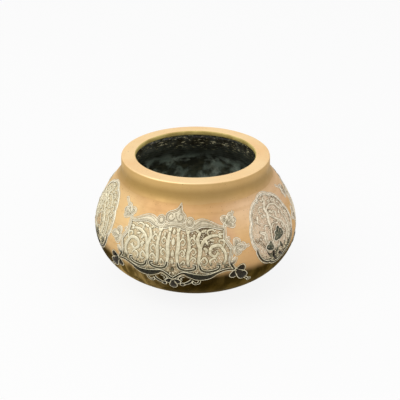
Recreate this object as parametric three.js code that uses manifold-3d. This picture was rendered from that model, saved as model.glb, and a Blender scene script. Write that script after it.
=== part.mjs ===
// A squat inlaid brass bowl: a cast body, a heavy collar soldered over its neck, and silver ornament
// keyed into undercut seats in the wall. Millimetres, +Z up, the origin in the middle of the base.
// The front is towards -Y.
//
// The ornament is drawn flat and then wrapped round the wall. In the drawing x runs round the belly,
// v runs along the wall and is 0 on the belly line, and the heights stand square to the wall.
import * as THREE from "three";
import { mergeVertices } from "three/addons/utils/BufferGeometryUtils.js";
import Module from "manifold-3d";

const wasm = await Module();
wasm.setup();

// Driving sizes of the cast body.
const BELLY_RADIUS = 70;
const BELLY_HEIGHT = 38.3;
const BASE_RADIUS = 30.6;
const WALL = 2.7;
const SHOULDER_HEIGHT = 77;
const SHOULDER_STEEPNESS = THREE.MathUtils.degToRad(35.4);
const SHOULDER_FULLNESS = 11.3;
const UPPER_BELLY_FULLNESS = 15;
const LOWER_BELLY_FULLNESS = 19.4;
const BASE_RISE = THREE.MathUtils.degToRad(14);
const BASE_FULLNESS = 24.8;
const BASE_RECESS_DEPTH = 0.8;
const FOOT_RING_WIDTH = 6;
const FLOOR_THICKNESS = 3.2;
const NECK_WALL = 2.6;
const NECK_ROOT_DROP = 1;
const BODY_SIDES = 36;
const FIELD_SIDES = 32;
const OUTER_STEPS = 6;
const INNER_STEPS = 4;

// Driving sizes of the collar and its solder.
const COLLAR_HEIGHT = 11;
const COLLAR_RADIUS = 50.3;
const COLLAR_FLARE = 0.7;
const FLARE_HEIGHT = 3.4;
const LIP_WIDTH = 9.7;
const LIP_THICKNESS = 3.3;
const LIP_ROUNDING = 0.9;
const APRON_THICKNESS = 2.6;
const SEAT_GAP = 0.3;
const SOLDER_LEG = 2;
const COLLAR_SIDES = 44;

// Driving sizes of the inlay and its seats.
const INLAY_THICKNESS = 0.7;
const KEY_ANGLE = THREE.MathUtils.degToRad(16);
const INLAY_CLEARANCE = 0.28;
const BEDDING_GAP = 0.35;
const BAND_WIDTH = 1.7;

// One square of the drawing's grid, in which the points and lengths of the ornament are counted, and the
// flat size of wall that it is drawn for: round the belly, up to the shoulder and down to the base.
const GRID_WIDTH = 1;
const DRAWING_GIRTH = 440;
const DRAWING_RISE = 44;
const DRAWING_DROP = 60;

const shoulderRadius = COLLAR_RADIUS + COLLAR_FLARE;
const apronInnerRadius = COLLAR_RADIUS - APRON_THICKNESS;
const neckOuterRadius = apronInnerRadius - SEAT_GAP;
const neckInnerRadius = neckOuterRadius - NECK_WALL;
const mouthRadius = COLLAR_RADIUS - LIP_WIDTH;
const rimHeight = SHOULDER_HEIGHT + COLLAR_HEIGHT;
const lipUnderside = rimHeight - LIP_THICKNESS;
const neckTop = lipUnderside - SEAT_GAP;
const seatDepth = INLAY_THICKNESS + BEDDING_GAP;

// Metals.
const brass = new THREE.MeshStandardMaterial({ color: 0xc79a55, roughness: 0.38, metalness: 1 });
const solder = new THREE.MeshStandardMaterial({ color: 0x8f8d84, roughness: 0.5, metalness: 1 });
const silver = new THREE.MeshStandardMaterial({ color: 0xd8d2bd, roughness: 0.34, metalness: 1 });
const darkSilver = new THREE.MeshStandardMaterial({ color: 0x3a3a36, roughness: 0.42, metalness: 1 });

const at = (x, y) => new THREE.Vector2(x, y);
const drawn = (x, v) => at(x * GRID_WIDTH, v * GRID_WIDTH);
const degrees = THREE.MathUtils.degToRad;

// The wall's two curves, from the base up to the belly and from the belly up to the neck's root.
function wallCurves(belly, base, top) {
  const lower = new THREE.CubicBezierCurve(
    base,
    at(base.x + BASE_FULLNESS * Math.cos(BASE_RISE), base.y + BASE_FULLNESS * Math.sin(BASE_RISE)),
    at(belly, BELLY_HEIGHT - LOWER_BELLY_FULLNESS),
    at(belly, BELLY_HEIGHT),
  );
  const upper = new THREE.CubicBezierCurve(
    at(belly, BELLY_HEIGHT),
    at(belly, BELLY_HEIGHT + UPPER_BELLY_FULLNESS),
    at(
      top.x + SHOULDER_FULLNESS * Math.sin(SHOULDER_STEEPNESS),
      top.y - SHOULDER_FULLNESS * Math.cos(SHOULDER_STEEPNESS),
    ),
    top,
  );
  return { lower, upper };
}

const outerWall = wallCurves(BELLY_RADIUS, at(BASE_RADIUS, 0), at(shoulderRadius, SHOULDER_HEIGHT));
const innerWall = wallCurves(
  BELLY_RADIUS - WALL,
  at(BASE_RADIUS - WALL * Math.sin(BASE_RISE), WALL * Math.cos(BASE_RISE)),
  at(neckInnerRadius, SHOULDER_HEIGHT - NECK_ROOT_DROP),
);

// The place on the outer wall that a height v in the drawing stands for, moved out square to the wall.
function wallPoint(v, out) {
  const rising = v >= 0;
  const curve = rising ? outerWall.upper : outerWall.lower;
  const share = THREE.MathUtils.clamp(rising ? v / DRAWING_RISE : 1 + v / DRAWING_DROP, 0, 1);
  const along = curve.getTangentAt(share);
  return curve.getPointAt(share).add(at(along.y, -along.x).multiplyScalar(out));
}

// Wraps a flat geometry round the wall about an azimuth, with its width drawn in by a share.
function wrap(geometry, { azimuth, drawnIn }) {
  const position = geometry.getAttribute("position");
  for (let i = 0; i < position.count; i += 1) {
    const place = wallPoint(position.getY(i), position.getZ(i));
    const angle = azimuth + (2 * Math.PI * position.getX(i) * drawnIn) / DRAWING_GIRTH;
    position.setXYZ(i, place.x * Math.sin(angle), -place.x * Math.cos(angle), place.y);
  }
  return geometry;
}

// Solids for joining and cutting.
function toSolid(geometry) {
  const bare = geometry.clone();
  bare.deleteAttribute("normal");
  bare.deleteAttribute("uv");
  const merged = mergeVertices(bare, 1e-4);
  const corners = merged.index.array;
  const kept = [];
  for (let i = 0; i < corners.length; i += 3) {
    const [a, b, c] = corners.slice(i, i + 3);
    if (a !== b && b !== c && c !== a) kept.push(a, b, c);
  }
  return new wasm.Manifold(
    new wasm.Mesh({
      numProp: 3,
      vertProperties: new Float32Array(merged.getAttribute("position").array),
      triVerts: new Uint32Array(kept),
    }),
  );
}

function toGeometry(solid) {
  const { vertProperties, triVerts } = solid.getMesh();
  const geometry = new THREE.BufferGeometry();
  geometry.setAttribute("position", new THREE.BufferAttribute(vertProperties, 3));
  geometry.setIndex(new THREE.BufferAttribute(triVerts, 1));
  return geometry;
}

// A ring or vessel turned from its section, with the axis upright.
function turned(section, sides) {
  return new THREE.LatheGeometry(section, sides).rotateX(Math.PI / 2);
}

// A flat form is its loops, each with the metal on its left, and the faces that fill them.
function filled(outline) {
  return { loops: [outline], faces: THREE.ShapeUtils.triangulateShape(outline, []) };
}

// The faces between two rails of point numbers.
function rungs(right, left, closed) {
  const faces = [];
  for (let i = 0; i < right.length - (closed ? 0 : 1); i += 1) {
    const next = (i + 1) % right.length;
    faces.push([right[i], right[next], left[next]], [right[i], left[next], left[i]]);
  }
  return faces;
}

// Moves a loop out to its right by a distance, with its sharp corners kept short.
function moved(loop, distanceAt) {
  return loop.map((point, i) => {
    const into = point.clone().sub(loop.at(i - 1)).normalize();
    const onward = loop[(i + 1) % loop.length].clone().sub(point).normalize();
    const right = at(into.y + onward.y, -into.x - onward.x).normalize();
    const miter = Math.max(0.7, right.x * onward.y - right.y * onward.x);
    return point.clone().addScaledVector(right, distanceAt(i) / miter);
  });
}

// A band along a closed anticlockwise run of [x, v, width] points, its width counted in band widths.
function band(run) {
  const line = run.map(([x, v]) => drawn(x, v));
  const right = moved(line, (i) => (run[i][2] * BAND_WIDTH) / 2);
  const left = moved(line, (i) => (-run[i][2] * BAND_WIDTH) / 2);
  const count = run.length;
  const numbers = run.map((_, i) => i);
  return {
    loops: [right, left.reverse()],
    faces: rungs(numbers, numbers.map((i) => 2 * count - 1 - i), true),
  };
}

// A stem along an open run of points, thickest in the middle and blunt at both ends.
function stem({ points, width, steps }) {
  const curve = new THREE.SplineCurve(points.map(([x, v]) => drawn(x, v)));
  const right = [];
  const left = [];
  for (let i = 0; i <= steps; i += 1) {
    const t = i / steps;
    const along = curve.getTangent(t);
    const reach = ((width * GRID_WIDTH) / 2) * (0.5 + 0.5 * Math.sin(Math.PI * t));
    const side = at(along.y, -along.x).multiplyScalar(reach);
    right.push(curve.getPoint(t).add(side));
    left.push(curve.getPoint(t).sub(side));
  }
  const numbers = right.map((_, i) => i);
  return {
    loops: [[...right, ...left.reverse()]],
    faces: rungs(numbers, numbers.map((i) => 2 * steps + 1 - i), false),
  };
}

// Three round lobes about a centre, with the lobe ahead drawn out to a point and a stalk behind.
function trefoil({ x, v, heading, size, tip, stalk, corners = 12 }) {
  const outline = [];
  for (let i = 0; i < corners; i += 1) {
    const turn = (2 * Math.PI * i) / corners;
    let reach = size * (1 + 0.26 * Math.cos(3 * turn));
    if (i === 0) reach += tip;
    if (i * 2 === corners) reach += stalk;
    outline.push(drawn(x + reach * Math.cos(heading + turn), v + reach * Math.sin(heading + turn)));
  }
  return filled(outline);
}

function disc({ x, v, radius, corners = 10 }) {
  const outline = [];
  for (let i = 0; i < corners; i += 1) {
    const turn = (2 * Math.PI * i) / corners;
    outline.push(drawn(x + radius * Math.cos(turn), v + radius * Math.sin(turn)));
  }
  return filled(outline);
}

// The same form on the other side of the drawing's centre line.
function mirrored({ loops, faces }) {
  return {
    loops: loops.map((loop) => loop.map((p) => at(-p.x, p.y))),
    faces: faces.map(([a, b, c]) => [a, c, b]),
    flipped: true,
  };
}

// A solid from a flat form: one copy of it at each level, from the top one down, each grown by its own amount.
function plate({ loops, faces, flipped = false }, levels) {
  const points = [];
  for (const { height, grow } of levels) {
    for (const loop of loops) {
      for (const p of moved(loop, () => (flipped ? -grow : grow))) {
        points.push(new THREE.Vector3(p.x, p.y, height));
      }
    }
  }
  const count = points.length / levels.length;
  const index = [];
  const face = (a, b, c) => index.push(...(flipped ? [a, c, b] : [a, b, c]));
  const lowest = points.length - count;
  for (const [a, b, c] of faces) {
    index.push(a, b, c, a + lowest, c + lowest, b + lowest);
  }
  for (let top = 0; top < lowest; top += count) {
    let start = top;
    for (const loop of loops) {
      for (let i = 0; i < loop.length; i += 1) {
        const a = start + i;
        const b = start + ((i + 1) % loop.length);
        face(a, a + count, b);
        face(b, a + count, b + count);
      }
      start += loop.length;
    }
  }
  const geometry = new THREE.BufferGeometry().setFromPoints(points);
  geometry.setIndex(index);
  return geometry;
}

// A strip of silver whose edges slope out downwards, so that the seat's edge keys it in.
function inlaySolid(form, field) {
  const foot = INLAY_THICKNESS * Math.tan(KEY_ANGLE);
  const levels = [
    { height: 0, grow: 0 },
    { height: -INLAY_THICKNESS, grow: foot },
  ];
  return wrap(plate(form, levels), field);
}

// The cutter for a seat: the inlay's outline with a clearance, sloped to match. It starts at a reach
// above the wall that clears the wall's own bulge within the form.
function seatCutter({ loops: [outline], flipped }, field, reach, depth) {
  const { faces } = filled(outline);
  const levels = [
    { height: reach, grow: INLAY_CLEARANCE },
    { height: 0, grow: INLAY_CLEARANCE },
    { height: -depth, grow: INLAY_CLEARANCE + depth * Math.tan(KEY_ANGLE) },
  ];
  return toSolid(wrap(plate({ loops: [outline], faces, flipped }, levels), field));
}

const SMALL_SEAT_REACH = 1;
const FIELD_SEAT_REACH = 16;

// The right half of the cartouche's border, from the top centre round to the foot, as [x, v, width].
const BORDER_HALF = [
  [0, 27.3, 1],
  [5.5, 26.2, 1.6],
  [11.5, 25.7, 1.2],
  [15.5, 27.6, 2.1],
  [20.5, 29.5, 3.1],
  [27.5, 27.9, 2.4],
  [35.8, 24.7, 1],
  [35.2, 18, 1],
  [39.4, 11, 1],
  [37.6, 4.4, 1],
  [38.2, 0.6, 1],
  [40.4, -3.2, 1],
  [34.5, -3, 1],
  [29, -4.8, 1.4],
  [23.5, -7.2, 2.4],
  [17, -7.2, 2.9],
  [11, -5.4, 2.2],
  [6.4, -3.8, 1],
  [0, -9.2, 1],
];

function cartoucheBorder() {
  const left = BORDER_HALF.slice(1, -1).map(([x, v, width]) => [-x, v, width]);
  const clockwise = [...BORDER_HALF, ...left.reverse()];
  return band(clockwise.reverse());
}

const PALMETTE = { x: 0, v: 33, heading: degrees(90), size: 3.9, tip: 3, stalk: 1.6, corners: 16 };
const PENDANT = { x: 0, v: -14, heading: degrees(-90), size: 3.2, tip: 1.9, stalk: 0.2 };
const ROUNDEL = { x: 10.8, v: 30.7, radius: 2.6 };
const UPPER_FINIAL = { x: 40.4, v: 29.3, heading: degrees(42), size: 3.5, tip: 1.6, stalk: 2 };
const SIDE_FINIAL = { x: 45, v: 11, heading: degrees(0), size: 3.1, tip: 1.5, stalk: 0.8 };
const LOWER_FINIAL = { x: 45.2, v: -7.2, heading: degrees(-48), size: 3.4, tip: 2.4, stalk: 1.2 };

// The right half of the cartouche's scrollwork: a spiral stem and the upright stems that grow from it.
const SPIRAL = {
  width: 2.2,
  steps: 12,
  points: [[3, 3], [6.5, -0.6], [13, -1.4], [20, -2.4], [27, -0.8], [33, 3.5], [34.2, 9], [31, 14.2],
    [25.8, 13.6], [24.4, 9.6], [27.6, 7.4]],
};
const UPRIGHTS = [
  { width: 2, steps: 4, points: [[4.2, 1.2], [3, 8], [3.6, 15], [3, 22.8]] },
  { width: 2, steps: 4, points: [[11, -1.4], [10, 7], [10.8, 14], [9.8, 22]] },
  { width: 2.2, steps: 6, points: [[18, -2.2], [17, 5], [18, 12], [16.4, 18], [18.4, 23.6]] },
  { width: 2, steps: 4, points: [[17.8, 11.6], [20.5, 17.5], [25.5, 20.5], [30.5, 20.6]] },
];

// The medallion: a lobed border round a branching spray with leaves and buds.
const MEDALLION = { v: 14.8, halfWidth: 22.5, halfHeight: 23.5, lobes: 8, swell: 1.3, pointsPerLobe: 3 };

function medallionBorder() {
  const { v, halfWidth, halfHeight, lobes, swell, pointsPerLobe } = MEDALLION;
  const run = [];
  for (let i = 0; i < lobes * pointsPerLobe; i += 1) {
    const turn = (2 * Math.PI * i) / (lobes * pointsPerLobe);
    const inset = swell * (1 - Math.abs(Math.sin((lobes * turn) / 2)));
    run.push([(halfWidth - inset) * Math.cos(turn), v + (halfHeight - inset) * Math.sin(turn), 1]);
  }
  return band(run);
}

const SPRAY = [
  { width: 2, steps: 10, points: [[-1, -5.2], [-3.4, 0], [-5.2, 8], [-4.4, 16], [-2.8, 22.4], [-4.4, 28], [-1.6, 34]] },
  { width: 1.8, steps: 9, points: [[-3, 22], [4, 19.8], [10.4, 13.6], [12, 6], [9, -0.6], [4.4, -2]] },
  { width: 1.8, steps: 5, points: [[-3.6, 26.6], [3, 29.6], [9.4, 27.6], [13.2, 22.6]] },
];
const BUDS = {
  bud_upper: { x: 2.4, v: 9, heading: degrees(90), size: 3.4, tip: 0.8, stalk: 0 },
  bud_lower: { x: -9.6, v: 3.2, heading: degrees(140), size: 2.4, tip: 0.8, stalk: 0 },
};
const LEAVES = {
  leaf_left: { width: 3, steps: 6, points: [[-9, 9.6], [-13.4, 11.6], [-16.4, 16.4], [-14.6, 22]] },
  leaf_right: { width: 2.6, steps: 6, points: [[14.6, 19], [16.4, 13], [16, 6.4], [13.2, 0.4]] },
};

// Where each field was set out by hand, and how far it was drawn in to fit its gap.
const FIELDS = [
  { kind: "cartouche", name: "cartouche_front", azimuth: degrees(-12.3), drawnIn: 1 },
  { kind: "medallion", name: "medallion_right", azimuth: degrees(51.4), drawnIn: 1 },
  { kind: "cartouche", name: "cartouche_right", azimuth: degrees(110.5), drawnIn: 0.93 },
  { kind: "medallion", name: "medallion_back", azimuth: degrees(169), drawnIn: 1 },
  { kind: "cartouche", name: "cartouche_left", azimuth: degrees(227.5), drawnIn: 0.93 },
  { kind: "medallion", name: "medallion_left", azimuth: degrees(286), drawnIn: 1 },
];

const bowl = new THREE.Group();
const seats = [];
const fieldSeats = [];

function addPiece(name, geometry, material) {
  geometry.computeVertexNormals();
  const mesh = new THREE.Mesh(geometry, material);
  mesh.name = name;
  bowl.add(mesh);
}

// A small inlay in a seat of its own, with the flat floor that a chisel leaves.
function addSeated(field, name, form, material) {
  addPiece(`${field.name}_${name}`, inlaySolid(form, field), material);
  seats.push(seatCutter(form, field, SMALL_SEAT_REACH, seatDepth));
}

// A border, with the whole field inside it sunk to a floor that follows the wall.
function addBorder(field, form) {
  addPiece(`${field.name}_border`, inlaySolid(form, field), silver);
  fieldSeats.push(seatCutter(form, field, FIELD_SEAT_REACH, seatDepth + BEDDING_GAP));
}

function addJoined(field, name, forms, material) {
  const solids = forms.map((form) => toSolid(inlaySolid(form, field)));
  addPiece(`${field.name}_${name}`, toGeometry(solids.reduce((whole, next) => whole.add(next))), material);
}

function buildCartouche(field) {
  addBorder(field, cartoucheBorder());
  addSeated(field, "palmette", trefoil(PALMETTE), silver);
  addSeated(field, "pendant", trefoil(PENDANT), darkSilver);
  const pairs = [
    ["roundel", disc(ROUNDEL), silver],
    ["finial_upper", trefoil(UPPER_FINIAL), silver],
    ["finial_side", trefoil(SIDE_FINIAL), silver],
    ["finial_lower", trefoil(LOWER_FINIAL), darkSilver],
  ];
  for (const [name, form, material] of pairs) {
    addSeated(field, `${name}_right`, form, material);
    addSeated(field, `${name}_left`, mirrored(form), material);
  }
  const scroll = [SPIRAL, ...UPRIGHTS].map(stem);
  addJoined(field, "scroll_right", scroll, silver);
  addJoined(field, "scroll_left", scroll.map(mirrored), silver);
}

function buildMedallion(field) {
  addBorder(field, medallionBorder());
  addJoined(field, "spray", SPRAY.map(stem), silver);
  for (const [name, bud] of Object.entries(BUDS)) {
    addPiece(`${field.name}_${name}`, inlaySolid(trefoil(bud), field), darkSilver);
  }
  for (const [name, leaf] of Object.entries(LEAVES)) {
    addPiece(`${field.name}_${name}`, inlaySolid(stem(leaf), field), silver);
  }
}

for (const field of FIELDS) {
  if (field.kind === "cartouche") buildCartouche(field);
  else buildMedallion(field);
}

// The cast body: the recessed base and foot ring, the wall, the shelf and neck, then back down inside.
function bodySection() {
  const footRingInner = BASE_RADIUS - FOOT_RING_WIDTH;
  return [
    at(0, BASE_RECESS_DEPTH),
    at(footRingInner - BASE_RECESS_DEPTH, BASE_RECESS_DEPTH),
    at(footRingInner, 0),
    ...outerWall.lower.getSpacedPoints(OUTER_STEPS),
    ...outerWall.upper.getSpacedPoints(OUTER_STEPS).slice(1),
    at(neckOuterRadius, SHOULDER_HEIGHT),
    at(neckOuterRadius, neckTop),
    at(neckInnerRadius, neckTop),
    ...innerWall.upper.getSpacedPoints(INNER_STEPS).reverse(),
    ...innerWall.lower.getSpacedPoints(INNER_STEPS).slice(1, -1).reverse(),
    at(BASE_RADIUS - WALL, FLOOR_THICKNESS),
    at(0, FLOOR_THICKNESS),
  ];
}

// The skin of wall that the fields may take away, from their floor out to clear of the wall.
const SKIN_STEPS = 6;
const SKIN_REACH = 2;

function skinSection() {
  const [low, high] = [-0.45 * DRAWING_DROP, 0.98 * DRAWING_RISE];
  const heights = Array.from({ length: SKIN_STEPS + 1 }, (_, i) => low + ((high - low) * i) / SKIN_STEPS);
  const outside = heights.map((v) => wallPoint(v, SKIN_REACH));
  const floor = heights.map((v) => wallPoint(v, -seatDepth)).reverse();
  return [...outside, ...floor, outside[0].clone()];
}

// The collar: a flat lip with an apron that flares out where it stands on the shoulder and covers the neck.
function collarSection() {
  const foot = SHOULDER_HEIGHT + SEAT_GAP;
  const rounding = (x, from) =>
    [0, 0.5, 1].map((share) => {
      const turn = from + (share * Math.PI) / 2;
      return at(x + LIP_ROUNDING * Math.cos(turn), rimHeight + LIP_ROUNDING * (Math.sin(turn) - 1));
    });
  return [
    at(apronInnerRadius, foot),
    at(shoulderRadius, foot),
    at(COLLAR_RADIUS + COLLAR_FLARE / 4, foot + FLARE_HEIGHT / 2),
    at(COLLAR_RADIUS, foot + FLARE_HEIGHT),
    ...rounding(COLLAR_RADIUS - LIP_ROUNDING, 0),
    ...rounding(mouthRadius + LIP_ROUNDING, Math.PI / 2),
    at(mouthRadius, lipUnderside),
    at(apronInnerRadius, lipUnderside),
    at(apronInnerRadius, foot),
  ];
}

// The solder run in the corner between the neck and the underside of the lip.
function solderSection() {
  const outer = neckInnerRadius - SEAT_GAP;
  return [
    at(outer, neckTop - SOLDER_LEG),
    at(outer, neckTop),
    at(outer - SOLDER_LEG, neckTop),
    at(outer, neckTop - SOLDER_LEG),
  ];
}

const skin = toSolid(turned(skinSection(), FIELD_SIDES));
const cutters = [...fieldSeats.map((seat) => seat.intersect(skin)), ...seats];
const casting = toSolid(turned(bodySection(), BODY_SIDES));
addPiece("bowl_body", toGeometry(cutters.reduce((rest, cutter) => rest.subtract(cutter), casting)), brass);
addPiece("rim_collar", turned(collarSection(), COLLAR_SIDES), brass);
addPiece("rim_solder", turned(solderSection(), COLLAR_SIDES), solder);

export default bowl;
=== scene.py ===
# %% [markdown]
# # A squat brass bowl inlaid with silver
# The bowl is a cast brass body with a heavy collar soldered over its neck. Silver sheet is let into
# the wall as cartouches and medallions, and every silver piece is outlined by a fine thread.
# The packed model is the frame: it says where each piece lies, in metres. This lesson dresses it.
# We keep the flat drawing of the ornament and the round wall apart: one helper wraps the first round
# the second, so that every piece of inlay is drawn on paper and still sits on the metal.

# %% Load the frame
import math

import bmesh
import bpy
import numpy as np
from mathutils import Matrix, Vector


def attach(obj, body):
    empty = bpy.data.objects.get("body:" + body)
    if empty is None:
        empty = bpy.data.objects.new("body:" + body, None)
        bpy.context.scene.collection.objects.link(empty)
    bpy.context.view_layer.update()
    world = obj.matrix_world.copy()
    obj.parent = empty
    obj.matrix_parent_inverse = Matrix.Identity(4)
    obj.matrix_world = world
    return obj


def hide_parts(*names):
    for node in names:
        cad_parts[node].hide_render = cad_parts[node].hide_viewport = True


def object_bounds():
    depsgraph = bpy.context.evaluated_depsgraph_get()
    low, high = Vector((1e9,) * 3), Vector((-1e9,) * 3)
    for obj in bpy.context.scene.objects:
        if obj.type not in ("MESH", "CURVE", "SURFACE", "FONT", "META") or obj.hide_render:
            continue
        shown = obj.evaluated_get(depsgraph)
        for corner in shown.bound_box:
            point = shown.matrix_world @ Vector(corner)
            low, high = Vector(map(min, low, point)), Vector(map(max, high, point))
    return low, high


MM = 0.001

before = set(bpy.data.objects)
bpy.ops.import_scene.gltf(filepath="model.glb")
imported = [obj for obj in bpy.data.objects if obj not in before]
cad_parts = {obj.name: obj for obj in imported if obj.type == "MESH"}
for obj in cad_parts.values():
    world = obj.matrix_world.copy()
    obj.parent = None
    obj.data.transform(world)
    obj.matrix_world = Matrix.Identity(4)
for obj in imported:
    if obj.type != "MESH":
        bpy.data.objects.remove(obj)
cad_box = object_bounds()
BELLY_RADIUS = round(-cad_box[0][0] / MM, 1)
RIM_TOP = round(cad_box[1][2] / MM, 1)
print("nodes in the frame:", len(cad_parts))
print("the bowl is", 2 * BELLY_RADIUS, "mm across and", RIM_TOP, "mm high")

# %% [markdown]
# ## The camera
# The photograph looks down on the bowl by about 26 degrees from 0.6 m away, which was found by
# fitting the bowl's outline. A long lens keeps the rim's two ellipses as alike as they are there.
# The bowl sits a little left of and below the middle of the photograph. The camera could be turned to
# match, but that would tilt the uprights, so the lens is shifted by a few hundredths of the frame.

# %% Place the camera
VIEW_DISTANCE = 0.6
VIEW_DROP = math.radians(26.41)
LENS_MM = 77.2
SHIFT_RIGHT, SHIFT_UP = 0.011, 0.0268

camera_data = bpy.data.cameras.new("camera")
camera = bpy.data.objects.new("camera", camera_data)
bpy.context.collection.objects.link(camera)
aim = Vector((0, 0, RIM_TOP * MM / 2))
camera.location = aim + VIEW_DISTANCE * Vector((0, -math.cos(VIEW_DROP), math.sin(VIEW_DROP)))
camera.rotation_euler = (aim - camera.location).to_track_quat("-Z", "Y").to_euler()
camera_data.lens = LENS_MM
camera_data.shift_x, camera_data.shift_y = SHIFT_RIGHT, SHIFT_UP
camera_data.clip_start = 0.01
bpy.context.scene.camera = camera
print("camera at", [round(c, 3) for c in camera.location])

# %% [markdown]
# ## The white surround
# Metal shows what stands round it, so it could be lit by an image of a room. A plain studio is
# enough here: a white surround that camera, gloss and glass all see at full strength, while matt
# surfaces get a weaker one. The Light Path node tells the two kinds of ray apart.

# %% Surround the bowl with white
SKY_FOR_MATT = 0.62


def studio_world():
    """A world that is white for camera, gloss and glass, and weaker for matt surfaces."""
    world = bpy.data.worlds.new("studio")
    world.use_nodes = True
    nodes, links = world.node_tree.nodes, world.node_tree.links
    nodes.clear()
    path = nodes.new("ShaderNodeLightPath")
    seen = path.outputs["Is Camera Ray"]
    for ray in ("Is Glossy Ray", "Is Transmission Ray"):
        either = nodes.new("ShaderNodeMath")
        either.operation = "MAXIMUM"
        links.new(seen, either.inputs[0])
        links.new(path.outputs[ray], either.inputs[1])
        seen = either.outputs[0]
    strength = nodes.new("ShaderNodeMapRange")
    strength.inputs["To Min"].default_value = SKY_FOR_MATT
    strength.inputs["To Max"].default_value = 1.0
    links.new(seen, strength.inputs["Value"])
    sky = nodes.new("ShaderNodeBackground")
    sky.inputs["Color"].default_value = (1, 1, 1, 1)
    links.new(strength.outputs["Result"], sky.inputs["Strength"])
    out = nodes.new("ShaderNodeOutputWorld")
    links.new(sky.outputs[0], out.inputs["Surface"])
    return world


bpy.context.scene.world = studio_world()
print("the surround is", SKY_FOR_MATT, "as strong for matt surfaces")

# %% [markdown]
# ## Two lamps
# A sun would give hard glints, so two big soft lamps are used, as a photographer would. The high one
# comes from the front left, as the bright left shoulder of the bowl says, and the lower one opens the
# shadows on the right. The Standard view shows a colour about as it is written.

# %% Light the bowl
def soft_lamp(name, place, size, power):
    """A square lamp that faces the bowl's middle. The power is in watts."""
    data = bpy.data.lights.new(name, "AREA")
    data.shape, data.size, data.energy = "SQUARE", size, power
    lamp = bpy.data.objects.new(name, data)
    lamp.location = place
    lamp.rotation_euler = (aim - Vector(place)).to_track_quat("-Z", "Y").to_euler()
    bpy.context.collection.objects.link(lamp)


soft_lamp("high_lamp", place=(-0.75, -0.5, 1.05), size=1.0, power=6.8)
soft_lamp("side_lamp", place=(1.1, -0.5, 0.5), size=0.6, power=1.6)
bpy.context.scene.view_settings.view_transform = "Standard"

# %% [markdown]
# ## A recipe for a finish
# Each finish is built from Blender's procedural nodes, so no picture is needed and the same recipe
# works from every side. The nodes could be placed by hand in the editor. A small class keeps the
# recipes short instead: one call adds a node, sets it, and joins it to what it is given. Colours are
# written as they look on screen and turned into the linear values that the shaders need.

# %% Add nodes and join them
def tone(*screen):
    """A colour as it looks on screen, from 0 to 255, as linear red, green, blue and alpha."""
    linear = [c / 255 / 12.92 if c < 11 else ((c / 255 + 0.055) / 1.055) ** 2.4 for c in screen]
    return (*linear, 1.0)


class Recipe:
    """One material, with a call that adds a node and one that feeds the shader."""

    def __init__(self, name, metallic=0.0, roughness=0.5):
        self.material = bpy.data.materials.new(name)
        self.material.use_nodes = True
        self.nodes = self.material.node_tree.nodes
        self.links = self.material.node_tree.links
        self.shader = self.nodes["Principled BSDF"]
        self.place = self.nodes.new("ShaderNodeTexCoord").outputs["Object"]
        self.shade("Metallic", metallic)
        self.shade("Roughness", roughness)

    def feed(self, socket, value):
        if isinstance(value, bpy.types.NodeSocket):
            self.links.new(value, socket)
        else:
            socket.default_value = value

    def shade(self, socket, value):
        self.feed(self.shader.inputs[socket], value)

    def add(self, kind, inputs, output=0, **settings):
        node = self.nodes.new(f"ShaderNode{kind}")
        for setting, value in settings.items():
            setattr(node, setting, value)
        for socket, value in inputs.items():
            self.feed(node.inputs[socket], value)
        return node.outputs[output]


print("white is", [round(c, 2) for c in tone(255, 255, 255)])

# %% [markdown]
# ## Patterns and blends
# Wear follows three things on a bowl like this: how high a place is, which side it is on, and chance.
# So the recipes get a call for each: height() and along() measure, noise() and cells() give chance,
# between() turns any of them into a share from 0 to 1, and mix() blends two colours by that share.
# Lengths inside a recipe are in metres, as the object's own coordinates are.

# %% Patterns and blends for the recipes
class Finish(Recipe):
    """A recipe with the patterns and blends that worn metal needs."""

    def noise(self, scale, detail=4.0, stretch=None, warp=0.0):
        where = self.add("Mapping", {"Vector": self.place, "Scale": stretch}) if stretch else self.place
        return self.add("TexNoise", {"Vector": where, "Scale": scale, "Detail": detail,
                                     "Roughness": 0.55, "Distortion": warp})

    def cells(self, scale):
        return self.add("TexVoronoi", {"Vector": self.place, "Scale": scale}, "Distance")

    def along(self, axis):
        return self.add("SeparateXYZ", {0: self.place}, axis)

    def height(self):
        return self.along("Z")

    def upward(self):
        """How far the surface faces up, from -1 to 1."""
        return self.add("SeparateXYZ", {0: self.add("NewGeometry", {}, "Normal")}, "Z")

    def between(self, value, low, high, at_low=0.0, at_high=1.0):
        """A smooth step from at_low to at_high, while the value goes from low to high."""
        ends = {"From Min": low, "From Max": high, "To Min": at_low, "To Max": at_high}
        return self.add("MapRange", {"Value": value, **ends}, "Result", interpolation_type="SMOOTHSTEP")

    def plus(self, one, other):
        return self.add("Math", {0: one, 1: other}, operation="ADD")

    def minus(self, one, other):
        return self.add("Math", {0: one, 1: other}, operation="SUBTRACT")

    def times(self, one, other):
        return self.add("Math", {0: one, 1: other}, operation="MULTIPLY")

    def larger(self, one, other):
        return self.add("Math", {0: one, 1: other}, operation="MAXIMUM")

    def mix(self, share, one, other):
        return self.add("Mix", {"Factor": share, 6: one, 7: other}, 2, data_type="RGBA")

    def bump(self, value, depth_mm, strength):
        dents = {"Height": value, "Distance": depth_mm * MM, "Strength": strength}
        self.shade("Normal", self.add("Bump", dents))


print("calls for a recipe:", [call for call in vars(Finish) if not call.startswith("_")])
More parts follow.
